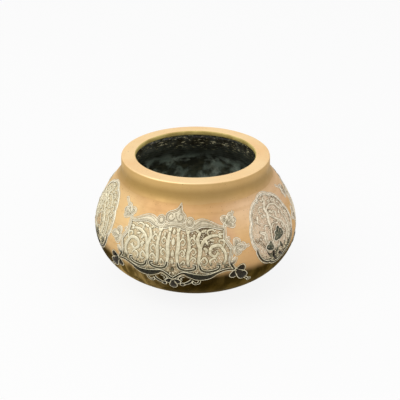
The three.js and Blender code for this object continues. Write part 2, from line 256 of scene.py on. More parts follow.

# %% [markdown]
# ## The handled wall
# Old brass is not one colour. Above the belly hands have polished it to peach, with pinkish patches
# where copper shows, and its left side is painted a lighter gold as painted light. One colour under a
# coloured lamp would look alike from the front only. So each tint is a coat, laid on by where it lies
# and by soft noise.

# %% Coat the handled wall
def polished_wall(brass, side):
    """The coats of the upper wall: three tints with the left painted light, copper, lathe marks, painted shade
    under the collar, darker towards the belly.
    """
    clouds = brass.between(brass.noise(26), 0.38, 0.64)
    gold = brass.mix(clouds, tone(234, 200, 144), tone(227, 191, 138))
    peach = brass.mix(clouds, tone(216, 177, 120), tone(208, 166, 116))
    pink = brass.mix(clouds, tone(222, 188, 148), tone(214, 180, 148))
    # Painted light: the left side is painted a lighter gold, the middle peach.
    skin = brass.mix(brass.between(side, -0.031, -0.009), gold, peach)
    high_right = brass.times(brass.between(side, 0.022, 0.052), brass.between(brass.height(), 0.050, 0.068))
    skin = brass.mix(high_right, skin, pink)
    coppery = brass.between(brass.noise(17, detail=2, warp=0.6), 0.54, 0.74, 0.0, 0.5)
    skin = brass.mix(coppery, skin, tone(208, 166, 134))
    lathe_marks = brass.between(brass.noise(70, detail=3, stretch=(0.12, 0.12, 6)), 0.5, 0.72, 0.0, 0.3)
    skin = brass.mix(lathe_marks, skin, tone(188, 146, 92))
    # Painted shade: a darker band at the top of the wall, under the collar.
    collar_shade = brass.between(brass.height(), 0.0706, 0.0768, 0.0, 0.75)
    collar_shade = brass.times(collar_shade, brass.between(side, 0.03, 0.06, 1.0, 0.7))
    skin = brass.mix(collar_shade, skin, tone(172, 136, 80))
    # Darker towards the belly.
    darker_towards_belly = brass.between(brass.height(), 0.032, 0.046, 0.45, 0.0)
    return brass.mix(darker_towards_belly, skin, tone(186, 150, 96))


print("the first coat is", [round(c, 2) for c in tone(216, 177, 120)[:3]], "in linear values")

# %% [markdown]
# ## The painted dark below the belly, and the whole body
# Below the belly the brass is painted a dark olive-brown with a fairly sharp edge: painted shade that
# stands for the dark reflection under the belly, streaked like tarnish. That dark could be left to the
# light, but the floor here is pale. So we paint the edge by height, and break it up by noise.

# %% Mix the brass of the body
UNDER_DARK_FULL, UNDER_DARK_TOP = 0.0292, 0.0366
EDGE_WANDER = 0.004


def under_belly_shade(brass, side):
    """The painted shade below the belly, in upright streaks, paler at the far right and browner at the left."""
    streaks = brass.between(brass.noise(150, stretch=(1, 1, 0.06)), 0.42, 0.60)
    black = brass.mix(streaks, tone(24, 16, 3), tone(48, 35, 10))
    olive = brass.mix(streaks, tone(44, 34, 12), tone(80, 64, 30))
    brown = brass.mix(streaks, tone(96, 78, 40), tone(184, 156, 98))
    skin = brass.mix(brass.between(side, 0.020, 0.050), black, olive)
    left = brass.times(brass.between(side, -0.030, 0.000, 1.0, 0.0), brass.between(side, -0.042, -0.034))
    return brass.mix(left, skin, brown)


def body_brass():
    brass = Finish("worn brass", metallic=0.62, roughness=0.42)
    brass.shade("Specular IOR Level", 0.3)
    brass.shade("Specular Tint", (0.8, 0.66, 0.44, 1))
    side = brass.plus(brass.along("X"), brass.times(brass.noise(20, detail=2), 0.03))
    edge = brass.plus(brass.height(), brass.times(brass.noise(45, detail=3), EDGE_WANDER))
    edge = brass.minus(edge, brass.between(side, -0.044, -0.034, 0.0022, 0.0))
    # Painted shade: below this edge the colour turns to the painted dark.
    below = brass.between(edge, UNDER_DARK_FULL + EDGE_WANDER / 2, UNDER_DARK_TOP + EDGE_WANDER / 2, 1.0, 0.0)
    skin = brass.mix(below, polished_wall(brass, side), under_belly_shade(brass, side))
    specks = brass.between(brass.noise(900, detail=2), 0.66, 0.74, 0.0, 0.5)
    brass.shade("Base Color", brass.mix(specks, skin, tone(120, 92, 50)))
    brass.shade("Roughness", brass.between(brass.noise(140), 0.3, 0.7, 0.52, 0.66))
    brass.shade("Metallic", brass.between(below, 0.0, 1.0, 0.62, 0.95))
    brass.bump(brass.noise(420, detail=5, stretch=(1, 1, 3)), 0.05, 0.5)
    return brass.material


body_brass_finish = body_brass()
print("the patina is full below", UNDER_DARK_FULL / MM, "mm and ends at", UNDER_DARK_TOP / MM, "mm")

# %% [markdown]
# ## Brass of the collar
# The collar is the part that hands take hold of. Its flat lip, rubbed and facing the lamps, is painted
# nearly cream, partly wear and partly painted light, while the apron under it is painted a deeper yellow
# with a darker band of painted shade where it meets the shoulder. Two materials could be split along the
# edge, but neither wear nor light stops at an edge. One recipe asks whether the surface faces up and
# blends by that. The lip's inner edge is greenish and matt, and has its own.

# %% Mix the brass of the collar
def collar_brass():
    brass = Finish("collar brass with painted light", metallic=0.62, roughness=0.36)
    brass.shade("Specular Tint", (0.9, 0.8, 0.62, 1))
    clouds = brass.between(brass.noise(30, detail=3), 0.35, 0.7)
    side = brass.between(brass.along("X"), -0.04, 0.03)
    lip = brass.mix(clouds, tone(253, 222, 171), tone(248, 209, 155))
    # Painted light: the apron is painted lighter on the left.
    high_apron = brass.mix(side, tone(220, 182, 116), tone(204, 168, 112))
    high_apron = brass.mix(0.1, high_apron, tone(176, 140, 82))
    # Painted shade: the low apron is darker where it meets the shoulder.
    shaded_low_apron = brass.mix(side, tone(178, 144, 82), tone(166, 135, 84))
    flare = brass.mix(side, tone(200, 162, 104), tone(190, 154, 106))
    apron = brass.mix(brass.between(brass.height(), 0.0800, 0.0858), shaded_low_apron, high_apron)
    apron = brass.mix(brass.between(brass.height(), 0.0736, 0.0786), flare, apron)
    apron = brass.mix(brass.times(clouds, 0.25), apron, tone(176, 138, 80))
    # Painted light: where the lip faces up it takes the pale cream.
    on_top = brass.between(brass.upward(), 0.25, 0.8)
    on_top = brass.times(on_top, brass.between(brass.height(), 0.0858, 0.0868))
    specks = brass.between(brass.noise(800, detail=2), 0.67, 0.74, 0.0, 0.5)
    brass.shade("Base Color", brass.mix(specks, brass.mix(on_top, apron, lip), tone(128, 98, 54)))
    brass.shade("Roughness", brass.between(brass.noise(160), 0.3, 0.7, 0.42, 0.56))
    brass.bump(brass.noise(380, detail=5, stretch=(1, 1, 4)), 0.04, 0.5)
    return brass.material


def inner_lip_brass():
    brass = Finish("inner lip brass", metallic=0.15, roughness=0.5)
    clouds = brass.between(brass.noise(90), 0.35, 0.7)
    brass.shade("Base Color", brass.mix(clouds, tone(226, 204, 124), tone(190, 164, 90)))
    return brass.material


collar_brass_finish = collar_brass()
inner_lip_finish = inner_lip_brass()
print("brass finishes:", [finish.name for finish in (body_brass_finish, collar_brass_finish, inner_lip_finish)])

# %% [markdown]
# ## The blackened inside
# The inside has never been polished. It is black and faintly green, glossy where it was tinned, with
# paler grey patches, partly worn tinning and partly painted reflection. The patches could be dents in the
# mesh alone, but the tinning has also worn through there. So they are broad soft clouds of noise, and the
# gloss changes with them. It is paler towards the floor. The patches give way to a black band of painted
# shadow below the neck, and small painted glints of bare brass sit on the neck.

# %% Mix the finish of the inside
def inside_black():
    skin = Finish("blackened inside", metallic=0.0, roughness=0.3)
    skin.shade("Specular IOR Level", 0.35)
    black = skin.mix(skin.between(skin.noise(210, detail=3), 0.4, 0.7), tone(48, 42, 26), tone(98, 92, 68))
    # Painted shadow: a black band below the neck.
    neck_shadow_band = skin.between(skin.height(), 0.050, 0.062, 0.0, 0.8)
    black = skin.mix(neck_shadow_band, black, tone(26, 21, 9))
    grey = skin.mix(skin.between(skin.noise(130, detail=3), 0.4, 0.7), tone(168, 180, 170), tone(226, 234, 222))
    paler_low_inside = skin.between(skin.height(), 0.010, 0.058, 1.0, 0.0)
    ground = skin.mix(paler_low_inside, black, tone(158, 168, 152))
    # The grey patches: partly worn tinning, partly painted reflection.
    patches = skin.between(skin.noise(122, detail=3, warp=0.25, stretch=(1, 1, 0.6)), 0.40, 0.66)
    patches = skin.times(patches, skin.between(skin.height(), 0.056, 0.068, 1.0, 0.1))
    # Painted highlights: small glints of bare brass on the neck.
    glints = skin.between(skin.noise(560, stretch=(0.6, 0.6, 2.0)), 0.57, 0.68, 0.0, 0.95)
    glints = skin.times(glints, skin.between(skin.height(), 0.0685, 0.0745))
    skin.shade("Base Color", skin.mix(glints, skin.mix(patches, ground, grey), tone(232, 222, 178)))
    skin.shade("Roughness", skin.between(patches, 0.0, 1.0, 0.28, 0.46))
    skin.bump(skin.noise(200), 0.2, 0.6)
    return skin.material


inside_finish = inside_black()
print("inside finish:", inside_finish.name)

# %% [markdown]
# ## Silver, bright and tarnished, with painted dark below
# The silver sheet is worn and cream-grey above, and painted nearly black where it dips under the belly,
# the same painted shade as on the brass. Each kind could have its own recipe, but all change alike, so
# one recipe takes two tones for above and two for below, and the same height test as for the brass turns
# one into the other. The thread that outlines each piece stayed bright, the medallions' rings are the
# palest sheet, the cartouches' frames are greyer, the sweeps at the foot of the scrolls are olive, some
# buds have lost their silver down to the brass, and the line between thread and sheet is dark.

# %% Mix the silvers
SILVER_DARK_FULL, SILVER_DARK_TOP = 0.0388, 0.0420
WARM_GLOSS = (0.9, 0.82, 0.7, 1)


def aged(name, bright, tarnished, metallic=0.5, roughness=0.42, grain=520, side_paling=0.5, higher=0.0):
    """Two tones above and two of painted shade below. side_paling pales the left side with painted light and
    turns the right side paler and pinker; higher lifts the painted dark.
    """
    metal = Finish(name, metallic=metallic, roughness=roughness)
    metal.shade("Specular IOR Level", 0.2)
    metal.shade("Specular Tint", WARM_GLOSS)
    pale, pale_too = (tone(*colour) for colour in bright)
    dark, dark_too = (tone(*colour) for colour in tarnished)
    clouds = metal.between(metal.noise(grain), 0.36, 0.66)
    # Painted light: the left side is painted paler; the right side turns paler and pinker.
    left = metal.between(metal.along("X"), -0.050, 0.004, side_paling, 0.0)
    skin = metal.mix(left, metal.mix(clouds, pale, pale_too), metal.mix(0.5, pale, tone(255, 250, 222)))
    right = metal.between(metal.along("X"), 0.015, 0.045, 0.0, side_paling)
    skin = metal.mix(right, skin, metal.mix(clouds, tone(242, 230, 214), tone(210, 195, 175)))
    # Painted shade: below the belly the colour turns to the darker tones.
    edge = metal.plus(metal.height(), metal.times(metal.noise(60, detail=2), EDGE_WANDER))
    lift = EDGE_WANDER / 2 + higher
    below = metal.between(edge, SILVER_DARK_FULL + lift, SILVER_DARK_TOP + lift, 1.0, 0.0)
    metal.shade("Base Color", metal.mix(below, skin, metal.mix(clouds, dark, dark_too)))
    metal.bump(metal.noise(900), 0.06, 0.5)
    return metal.material


silver_finish = aged("worn silver", [(230, 220, 188), (196, 184, 152)], [(84, 80, 60), (146, 140, 112)])
frame_silver_finish = aged(
    "grey silver", [(212, 200, 172), (184, 172, 146)], [(30, 30, 22), (60, 60, 46)], roughness=0.44)
ring_silver_finish = aged(
    "ring silver", [(250, 244, 222), (222, 212, 182)], [(40, 39, 30), (84, 80, 64)],
    metallic=0.4, roughness=0.4, higher=0.004)
dark_silver_finish = aged(
    "tarnished silver", [(58, 62, 50), (96, 98, 80)], [(13, 12, 7), (50, 44, 32)], grain=260, side_paling=0.0)
olive_silver_finish = aged(
    "olive silver", [(100, 95, 74), (132, 126, 100)], [(66, 61, 44), (104, 98, 76)], side_paling=0.0)
bare_bud_finish = aged(
    "bare brass bud", [(208, 174, 124), (188, 154, 106)], [(160, 128, 84), (120, 96, 58)],
    roughness=0.45, side_paling=0.2)
thread_finish = aged(
    "bright thread", [(250, 243, 220), (226, 215, 184)], [(240, 231, 200), (208, 197, 160)],
    metallic=0.4, roughness=0.4)
# The grooves and dark lines; below the belly they take the painted shade too.
groove_finish = aged(
    "dark line", [(150, 134, 100), (118, 102, 72)], [(44, 39, 26), (24, 21, 14)],
    metallic=0.1, roughness=0.6, side_paling=0.3)
print("silver finishes:", silver_finish.name, dark_silver_finish.name, thread_finish.name)

# %% [markdown]
# ## The stippled ground
# Inside each field the brass was punched all over with tiny marks, which set off the silver and hold
# the dirt. It is beige, browner in cakes of old grime, paler and pinker on the right, painted paler on
# the left as painted light, and painted dark below the belly as painted shade. A picture of the punching
# would repeat round the bowl, so cells give the pits: each is darker in its middle and dips there.

# %% Mix the stippled ground
PITS_PER_METRE = 950


def stippled_ground():
    ground = Finish("stippled ground", metallic=0.35, roughness=0.5)
    side, height = ground.along("X"), ground.height()
    skin = ground.mix(ground.between(ground.noise(70), 0.38, 0.66), tone(210, 184, 146), tone(192, 166, 128))
    skin = ground.mix(ground.between(side, 0.020, 0.050, 0.0, 0.6), skin, tone(230, 206, 183))
    # Painted light: the left side is painted paler.
    skin = ground.mix(ground.between(side, -0.050, 0.004, 0.6, 0.0), skin, tone(232, 216, 172))
    pits = ground.between(ground.cells(PITS_PER_METRE), 0.10, 0.34, 1.0, 0.0)
    skin = ground.mix(ground.times(pits, 0.45), skin, tone(112, 92, 62))
    grime = ground.between(ground.noise(150, detail=3), 0.51, 0.64, 0.0, 0.85)
    grime = ground.times(grime, ground.between(side, -0.04, 0.0, 0.3, 1.0))
    skin = ground.mix(grime, skin, tone(112, 92, 62))
    ragged = ground.times(ground.noise(160, detail=3), 0.006)
    across, up = ground.plus(side, ragged), ground.plus(height, ragged)
    cake = ground.times(ground.between(across, 0.002, 0.004), ground.between(across, 0.012, 0.015, 0.9, 0.0))
    cake = ground.times(cake, ground.between(up, 0.052, 0.055))
    skin = ground.mix(cake, skin, tone(92, 74, 46))
    # Painted shade: darker below the belly.
    below = ground.between(height, 0.031, 0.0385, 0.75, 0.0)
    ground.shade("Base Color", ground.mix(below, skin, tone(92, 80, 48)))
    ground.bump(ground.cells(PITS_PER_METRE), 0.2, 0.8)
    return ground.material


ground_finish = stippled_ground()
print("ground:", ground_finish.name, "with a pit every", round(1000 / PITS_PER_METRE, 2), "mm")

# %% [markdown]
# ## Soft solder
# The collar was run on with soft solder, a dull grey metal that shows as ragged glints under the lip.
# Plain grey would do from afar. Two greys and a bump let the runs catch the light unevenly.

# %% Mix the solder
def soft_solder():
    solder = Finish("soft solder", metallic=0.6, roughness=0.34)
    worn = solder.between(solder.noise(300), 0.4, 0.65)
    solder.shade("Base Color", solder.mix(worn, tone(92, 90, 76), tone(208, 204, 178)))
    solder.bump(solder.noise(500), 0.2, 0.8)
    return solder.material


solder_finish = soft_solder()
print("materials so far:", len(bpy.data.materials))

# %% [markdown]
# ## The wall as a curve
# The wall is two Bezier curves, one from the base to the belly and one on to the shoulder. They could
# be traced with the curve tool, but a table of points along them, spaced by length, lets us ask for
# the place and the facing of the wall at any height of the drawing. The names say how full each curve
# is at its ends, as for the frame's own wall.

# %% Curve the wall
BELLY_HEIGHT = 38.3
BASE_RADIUS, BASE_RISE, BASE_FULLNESS = 30.6, math.radians(14), 24.8
LOWER_BELLY_FULLNESS, UPPER_BELLY_FULLNESS = 19.4, 15.0
COLLAR_HEIGHT = 11.0
SHOULDER_RADIUS, SHOULDER_HEIGHT = 51.0, RIM_TOP - COLLAR_HEIGHT
SHOULDER_STEEPNESS, SHOULDER_FULLNESS = math.radians(35.4), 11.3
CURVE_STEPS = 1200


def bezier(*corners):
    """A curve from its first corner to its last, drawn towards the two between."""
    t = np.linspace(0, 1, CURVE_STEPS)[:, None]
    a, b, c, d = (np.array(p, float) for p in corners)
    return a * (1 - t) ** 3 + 3 * b * t * (1 - t) ** 2 + 3 * c * t**2 * (1 - t) + d * t**3


def wall_curves(belly, base, top):
    """The lower and the upper curve of a wall, as rows of radius and height in millimetres."""
    off_base = (base[0] + BASE_FULLNESS * math.cos(BASE_RISE), base[1] + BASE_FULLNESS * math.sin(BASE_RISE))
    up_to_top = (top[0] + SHOULDER_FULLNESS * math.sin(SHOULDER_STEEPNESS),
                 top[1] - SHOULDER_FULLNESS * math.cos(SHOULDER_STEEPNESS))
    widest = (belly, BELLY_HEIGHT)
    lower = bezier(base, off_base, (belly, BELLY_HEIGHT - LOWER_BELLY_FULLNESS), widest)
    upper = bezier(widest, (belly, BELLY_HEIGHT + UPPER_BELLY_FULLNESS), up_to_top, top)
    return lower, upper


def spaced(curve, count):
    """The same curve as a number of points at even steps of its length."""
    steps = np.hypot(*np.diff(curve, axis=0).T)
    length = np.concatenate([[0], np.cumsum(steps)])
    share = np.linspace(0, length[-1], count)
    return np.column_stack([np.interp(share, length, curve[:, k]) for k in (0, 1)])


lower_wall, upper_wall = wall_curves(BELLY_RADIUS, (BASE_RADIUS, 0), (SHOULDER_RADIUS, SHOULDER_HEIGHT))
print("the wall is", round(float(lower_wall[:, 0].max()), 1), "mm in radius at the belly")

# %% [markdown]
# ## From paper to wall
# The maker drew the ornament on paper and pricked it through on to the metal. A Shrinkwrap modifier
# could press a flat sheet on to the wall, but it would crowd the drawing where the wall curves in. So
# each point is looked up in a table: x goes round the belly, v goes along the wall from the belly
# line, and the third number stands square to the wall.

# %% Wrap the drawing round the wall
DRAWING_GIRTH, DRAWING_RISE, DRAWING_DROP = 440.0, 44.0, 60.0
TABLE_ROWS = 400

wall_v = np.concatenate([np.linspace(-DRAWING_DROP, 0, TABLE_ROWS)[:-1],
                         np.linspace(0, DRAWING_RISE, TABLE_ROWS)])
wall_line = np.concatenate([spaced(lower_wall, TABLE_ROWS)[:-1], spaced(upper_wall, TABLE_ROWS)])
wall_way = np.gradient(wall_line, axis=0)
wall_way /= np.linalg.norm(wall_way, axis=1)[:, None]


def wrap(flat, field):
    """Points of the drawing, as rows of x, v and height, laid on the wall in metres."""
    v = np.clip(flat[:, 1], -DRAWING_DROP, DRAWING_RISE)
    columns = (*wall_line.T, *wall_way.T)
    radius, level, way_r, way_z = (np.interp(v, wall_v, column) for column in columns)
    radius = radius + flat[:, 2] * way_z
    level = level - flat[:, 2] * way_r
    angle = field["azimuth"] + 2 * math.pi * flat[:, 0] * field["drawn_in"] / DRAWING_GIRTH
    return np.column_stack([radius * np.sin(angle), -radius * np.cos(angle), level]) * MM


print("rows in the table of the wall:", len(wall_line))

# %% [markdown]
# ## A piece of the bowl
# Every piece, cast or inlaid, comes to the scene in the same way. The add-object menu gives ready
# shapes; here a list of points and faces becomes a mesh, with a finish for each face. The piece rides
# on the bowl's one body and hides the nodes it stands for.

# %% Make a piece
def new_piece(name, points, faces, finishes, face_finish=None, replaces=()):
    mesh = bpy.data.meshes.new(name)
    mesh.from_pydata(np.asarray(points).tolist(), [], [list(map(int, face)) for face in faces])
    for finish in finishes:
        mesh.materials.append(finish)
    if face_finish is not None:
        mesh.polygons.foreach_set("material_index", np.asarray(face_finish, dtype=np.int32))
    mesh.polygons.foreach_set("use_smooth", [True] * len(mesh.polygons))
    mesh.update()
    piece = bpy.data.objects.new(name, mesh)
    bpy.context.collection.objects.link(piece)
    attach(piece, "root")
    if replaces:
        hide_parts(*replaces)
    return piece


print("meshes before the first piece:", len(bpy.data.meshes))

# %% [markdown]
# ## Turning a part
# The body and the collar were cast and then turned on a lathe, so each is one section swept round an
# axis. The Screw modifier would do it. Here the mesh is made directly, because every point can then be
# moved a little, which is what hammering and wear did.

# %% Turn a section
def around(sides):
    """The angles of a number of even steps round the axis."""
    return np.linspace(0, 2 * math.pi, sides, endpoint=False)


def ring_faces(rows, columns):
    """Faces of a grid of points that closes on itself both ways."""
    number = np.arange(rows * columns).reshape(rows, columns)
    up = np.roll(number, -1, axis=0)
    across = np.roll(number, -1, axis=1)
    return np.stack([number, across, np.roll(up, -1, axis=1), up], axis=2).reshape(-1, 4)


def turned_grid(section, sides):
    """Points and faces of a section that is closed on itself, swept round the axis."""
    angle = around(sides)
    radius, level = section[:, 0][:, None], section[:, 1][:, None]
    grid = np.stack([radius * np.sin(angle), -radius * np.cos(angle), level + 0 * angle], axis=2)
    return grid, ring_faces(len(section), sides)


def ripple(seed, angle, level, waves, most_turns):
    """A smooth random height over angle and level, about one unit high."""
    random = np.random.default_rng(seed)
    height = np.zeros(np.broadcast(angle, level).shape)
    for _ in range(waves):
        turns = random.integers(2, most_turns + 4)
        size, steepness, start = random.uniform(0.4, 1), random.uniform(3, 9), random.uniform(0, 6.3)
        height += size * np.sin(turns * angle + level / steepness + start)
    return height / math.sqrt(waves)


print("a turned test ring has", len(turned_grid(np.array([(1, 0), (2, 0), (2, 1)]), 8)[1]), "faces")

# %% [markdown]
# ## Six fields on the wall
# Three cartouches alternate with three medallions. An array round the axis would set them at even
# steps, but they were set out by hand: their spacing is a little uneven, and two of the cartouches are
# drawn in to fit their gaps. So each field keeps its own azimuth from the front and its own width,
# and everything in it is drawn once and wrapped three times.

# %% Set out the fields
FIELDS = [
    {"name": name, "kind": name.split("_")[0], "azimuth": math.radians(azimuth), "drawn_in": drawn_in}
    for name, azimuth, drawn_in in (
        ("cartouche_front", -12.3, 1.0), ("medallion_right", 51.4, 1.0), ("cartouche_right", 110.5, 0.93),
        ("medallion_back", 169, 1.0), ("cartouche_left", 227.5, 0.93), ("medallion_left", 286, 1.0),
    )
]
CARTOUCHES = [field for field in FIELDS if field["kind"] == "cartouche"]
MEDALLIONS = [field for field in FIELDS if field["kind"] == "medallion"]
print("fields:", [field["name"] for field in FIELDS])

# %% [markdown]
# ## The border lines
# The cartouche's border runs in cusps and swells into leaves, so half of it is a row of points, each
# with a half width in the drawing's millimetres. Bezier handles could round it, but a line that is
# made to pass through its points is easier to read off a photograph. The medallion's border needs no
# points: eight lobes are a cosine bent into cusps.

# %% Draw the border lines
BAND = 0.5
BORDER_HALF = [
    (0, 27.9, 1.2), (3.5, 27.6, 1.4), (7.2, 26.5, 1.7), (11, 25.8, 1.4), (14.4, 27.0, 2.0), (18, 28.7, 2.2),
    (22, 28.9, 1.9), (27, 27.5, 1.3), (31.5, 25.8, 0.7), (35.8, 24.7, BAND), (35.2, 18, BAND), (39.4, 11, BAND),
    (37.6, 4.4, BAND), (38.2, 0.6, BAND), (40.4, -3.2, 0.4),
    (34.5, -2.8, 0.35), (29, -4.4, 0.5), (23.5, -7, 1.3),
    (17, -7.4, 1.8), (11, -5.6, 1.2), (6.4, -4.4, 0.35), (0, -9.2, 0.35),
]
CUSPS = {(35.8, 24.7), (40.4, -3.2), (0, -9.2), (35.2, 18), (39.4, 11), (38.2, 0.6)}
MEDALLION_V, MEDALLION_WIDTH, MEDALLION_HEIGHT, LOBES, SWELL = 14.8, 23.8, 24.8, 8, 1.6
MEDALLION_POINTS, MEDALLION_HALF = 176, 0.42


def curved(run, sharp=(), step=0.8):
    """A smooth line through rows of x, v and half width, kept sharp at the numbered rows."""
    run = np.asarray(run, float)
    rows = []
    for i in range(len(run) - 1):
        start, end = run[i], run[i + 1]
        before = run[i - 1] if i > 0 and i not in sharp else start * 2 - end
        after = run[i + 2] if i + 2 < len(run) and i + 1 not in sharp else end * 2 - start
        count = max(2, int(np.hypot(*(end - start)[:2]) / step))
        for t in np.arange(count) / count:
            rows.append(0.5 * (2 * start + (end - before) * t
                               + (2 * before - 5 * start + 4 * end - after) * t**2
                               + (3 * start - before - 3 * end + after) * t**3))
    rows.append(run[-1])
    return np.array(rows)


def cartouche_border():
    run = BORDER_HALF[::-1] + [(-x, v, half) for x, v, half in BORDER_HALF[1:]]
    sharp = [i for i, (x, v, _) in enumerate(run) if (abs(x), v) in CUSPS]
    return curved(run, sharp)[:-1]


def medallion_border():
    turn = around(MEDALLION_POINTS)
    inset = BAND + SWELL * (1 - np.abs(np.cos(LOBES * turn / 2)) ** 0.5)
    x = (MEDALLION_WIDTH - inset) * np.cos(turn)
    v = MEDALLION_V + (MEDALLION_HEIGHT - inset) * np.sin(turn)
    return np.column_stack([x, v, np.full(MEDALLION_POINTS, MEDALLION_HALF)])


borders = {"cartouche": cartouche_border(), "medallion": medallion_border()}
print("border points:", {kind: len(line) for kind, line in borders.items()})

# %% [markdown]
# ## The body's section
# The body is one closed section: base, wall, the shelf under the collar, the neck, and back down the
# inside. A plain profile with a Solidify modifier would give one thickness all over, and the neck and
# the foot ring are thicker than the wall. So the inside is a curve of its own, and the rows of the
# outside lie close together only where the fields are.

# %% Draw the body's section
WALL = 2.7
NECK_OUTER, NECK_INNER, NECK_TOP, NECK_ROOT_DROP = 47.4, 44.8, 84.4, 1
FLOOR_LEVEL, FLOOR_MIDDLE = 3.2, 3.15
RECESS_DEPTH, FOOT_RING_WIDTH, FOOT_RING_REST = 0.8, 6.0, 27.5
BELOW_FIELDS = -24

outer_v = np.concatenate([np.linspace(-DRAWING_DROP, BELOW_FIELDS, 16)[:-1],
                          np.linspace(BELOW_FIELDS, DRAWING_RISE, 76)])


def body_section():
    """Rows of radius and height, with the first row inside the neck and the first row of the base."""
    outside = np.column_stack([np.interp(outer_v, wall_v, column) for column in wall_line.T])
    neck = [(NECK_OUTER, SHOULDER_HEIGHT), (NECK_OUTER, NECK_TOP), (NECK_INNER, NECK_TOP), (NECK_INNER, 80)]
    corner = (BASE_RADIUS - WALL * math.sin(BASE_RISE), WALL * math.cos(BASE_RISE))
    lower, upper = wall_curves(BELLY_RADIUS - WALL, corner, (NECK_INNER, SHOULDER_HEIGHT - NECK_ROOT_DROP))
    inner = np.concatenate([spaced(upper[::-1], 44), spaced(lower[::-1], 40)[1:-1]])
    floor = [(BASE_RADIUS - WALL, FLOOR_LEVEL), (18, FLOOR_MIDDLE), (8, FLOOR_MIDDLE), (0, FLOOR_MIDDLE)]
    ring = BASE_RADIUS - FOOT_RING_WIDTH
    base = [(0, RECESS_DEPTH), (12, RECESS_DEPTH), (ring - RECESS_DEPTH, RECESS_DEPTH), (ring, 0.0),
            (FOOT_RING_REST, 0.0)]
    section = np.concatenate([outside, neck, inner, floor, base])
    return section, len(outside) + len(neck) - 1, len(section) - len(base)


section_rows, inside_from, base_from = body_section()
print("rows in the body's section:", len(section_rows), "with the inside from", inside_from, "to", base_from)

# %% [markdown]
# ## The sunk fields
# Inside each field the wall is chased down, and the silver border hides the step. A Boolean would cut
# it cleanly, but the casting is fine enough that its own points can be told apart: a point lies in a
# field when a line from it crosses the field's outline an odd number of times.

# %% Find the points of the fields
def inside(points, outline):
    """Which points of the drawing lie inside a closed outline."""
    x, v = points[:, 0][:, None], points[:, 1][:, None]
    x1, v1 = outline.T
    x2, v2 = np.roll(outline, -1, axis=0).T
    spans = (v1 > v) != (v2 > v)
    with np.errstate(divide="ignore", invalid="ignore"):
        crossing = x1 + (v - v1) * (x2 - x1) / (v2 - v1)
    return (np.sum(spans & (x < crossing), axis=1) % 2) == 1


def in_fields(shape, angle):
    """Which points of the body's grid lie in a field."""
    sunk = np.zeros(shape, bool)
    for field in FIELDS:
        turned = (angle - field["azimuth"] + math.pi) % (2 * math.pi) - math.pi
        x = turned * DRAWING_GIRTH / (2 * math.pi) / field["drawn_in"]
        flat = np.stack(np.broadcast_arrays(x, outer_v[:, None]), axis=2).reshape(-1, 2)
        outline = borders[field["kind"]][:, :2]
        sunk[:len(outer_v)] |= inside(flat, outline).reshape(len(outer_v), -1)
    return sunk


middle_and_rim = inside(np.array([(0, 10), (60, 10)]), borders["cartouche"][:, :2])
print("the middle and a far point lie in a cartouche:", middle_and_rim.tolist())

# %% [markdown]
# ## The hammered inside
# The inside keeps the broad dents of the hammer, which fade towards the floor, and fine ridges from
# the turning tool near the neck. A bump map could only pretend to them, so the points themselves move.

# %% Hammer the inside
DENT_DEPTH, DENTS_FROM, DENTS_FADE = 0.42, 24, 26
RIDGE_DEPTH, RIDGE_TURN, RIDGES_FROM = 0.16, 2.6, 60
SMOOTH_FLOOR = 12


def hammered(section, angle):
    """How far each point of the inside stands off the section: dents, and ridges near the neck."""
    radius, level = section[:, 0][:, None], section[:, 1][:, None]
    dents = ripple(3, angle, level, waves=16, most_turns=22) * DENT_DEPTH
    dents *= np.clip((radius - DENTS_FROM) / DENTS_FADE, 0, 1)
    ridges = RIDGE_DEPTH * np.sin(level * RIDGE_TURN + 0.4 * np.sin(3 * angle)) * (level > RIDGES_FROM)
    rows = np.arange(len(section))
    hollow = (rows >= inside_from) & (rows < base_from - 1) & (section[:, 0] > SMOOTH_FLOOR)
    return np.where(hollow[:, None], dents + ridges, 0)


print("deepest dent:", round(float(np.abs(hammered(section_rows, around(60)[None, :])).max()), 2), "mm")

# %% [markdown]
# ## The cast body
# The body is turned from its section, and then every point moves square to it: in by the depth of a
# field, or in and out with the dents. It could be cast and sunk as two objects, but a bowl of one
# casting should stay one closed mesh. Faces in the fields get the stippled ground, those inside the
# black, and the points that fall together on the axis are welded.

# %% Cast the body
FIELD_SINK = 0.5
BODY_SIDES = 420


def cast_body(section):
    grid, faces = turned_grid(section, BODY_SIDES)
    angle = around(BODY_SIDES)[None, :]
    sunk = in_fields(grid.shape[:2], angle)
    push = np.where(sunk, -FIELD_SINK, hammered(section, angle))
    radius = np.hypot(grid[..., 0], grid[..., 1])
    way = np.gradient(section, axis=0)
    way /= np.maximum(np.linalg.norm(way, axis=1), 1e-6)[:, None]
    new_radius = radius + push * way[:, 1][:, None]
    grid[..., :2] *= (new_radius / np.maximum(radius, 1e-6))[..., None]
    grid[..., 2] -= push * way[:, 0][:, None]
    row = np.repeat(np.arange(len(section)), BODY_SIDES)
    face_finish = np.where((row >= inside_from - 1) & (row < base_from), 1, 0)
    face_finish[sunk.reshape(-1)] = 2
    print("sunk points:", int(sunk.sum()))
    return new_piece("cast_body", grid.reshape(-1, 3) * MM, faces,
                     [body_brass_finish, inside_finish, ground_finish], face_finish,
                     replaces=["bowl_body"])


def weld(piece):
    """Joins the points that fall together where a section meets the axis."""
    bm = bmesh.new()
    bm.from_mesh(piece.data)
    bmesh.ops.remove_doubles(bm, verts=bm.verts, dist=1e-7)
    bm.to_mesh(piece.data)
    bm.free()


body = cast_body(section_rows)
weld(body)
print("body faces:", len(body.data.polygons))

# %% [markdown]
# ## The collar
# The collar is a heavy ring, a flat lip with an apron. Its foot flares into the shoulder in a small
# hollow curve, its top edge is worn round, and no edge is dead true. A bevelled cylinder has none of
# this, so the collar is turned from its own section like the body, and then wanders a little.

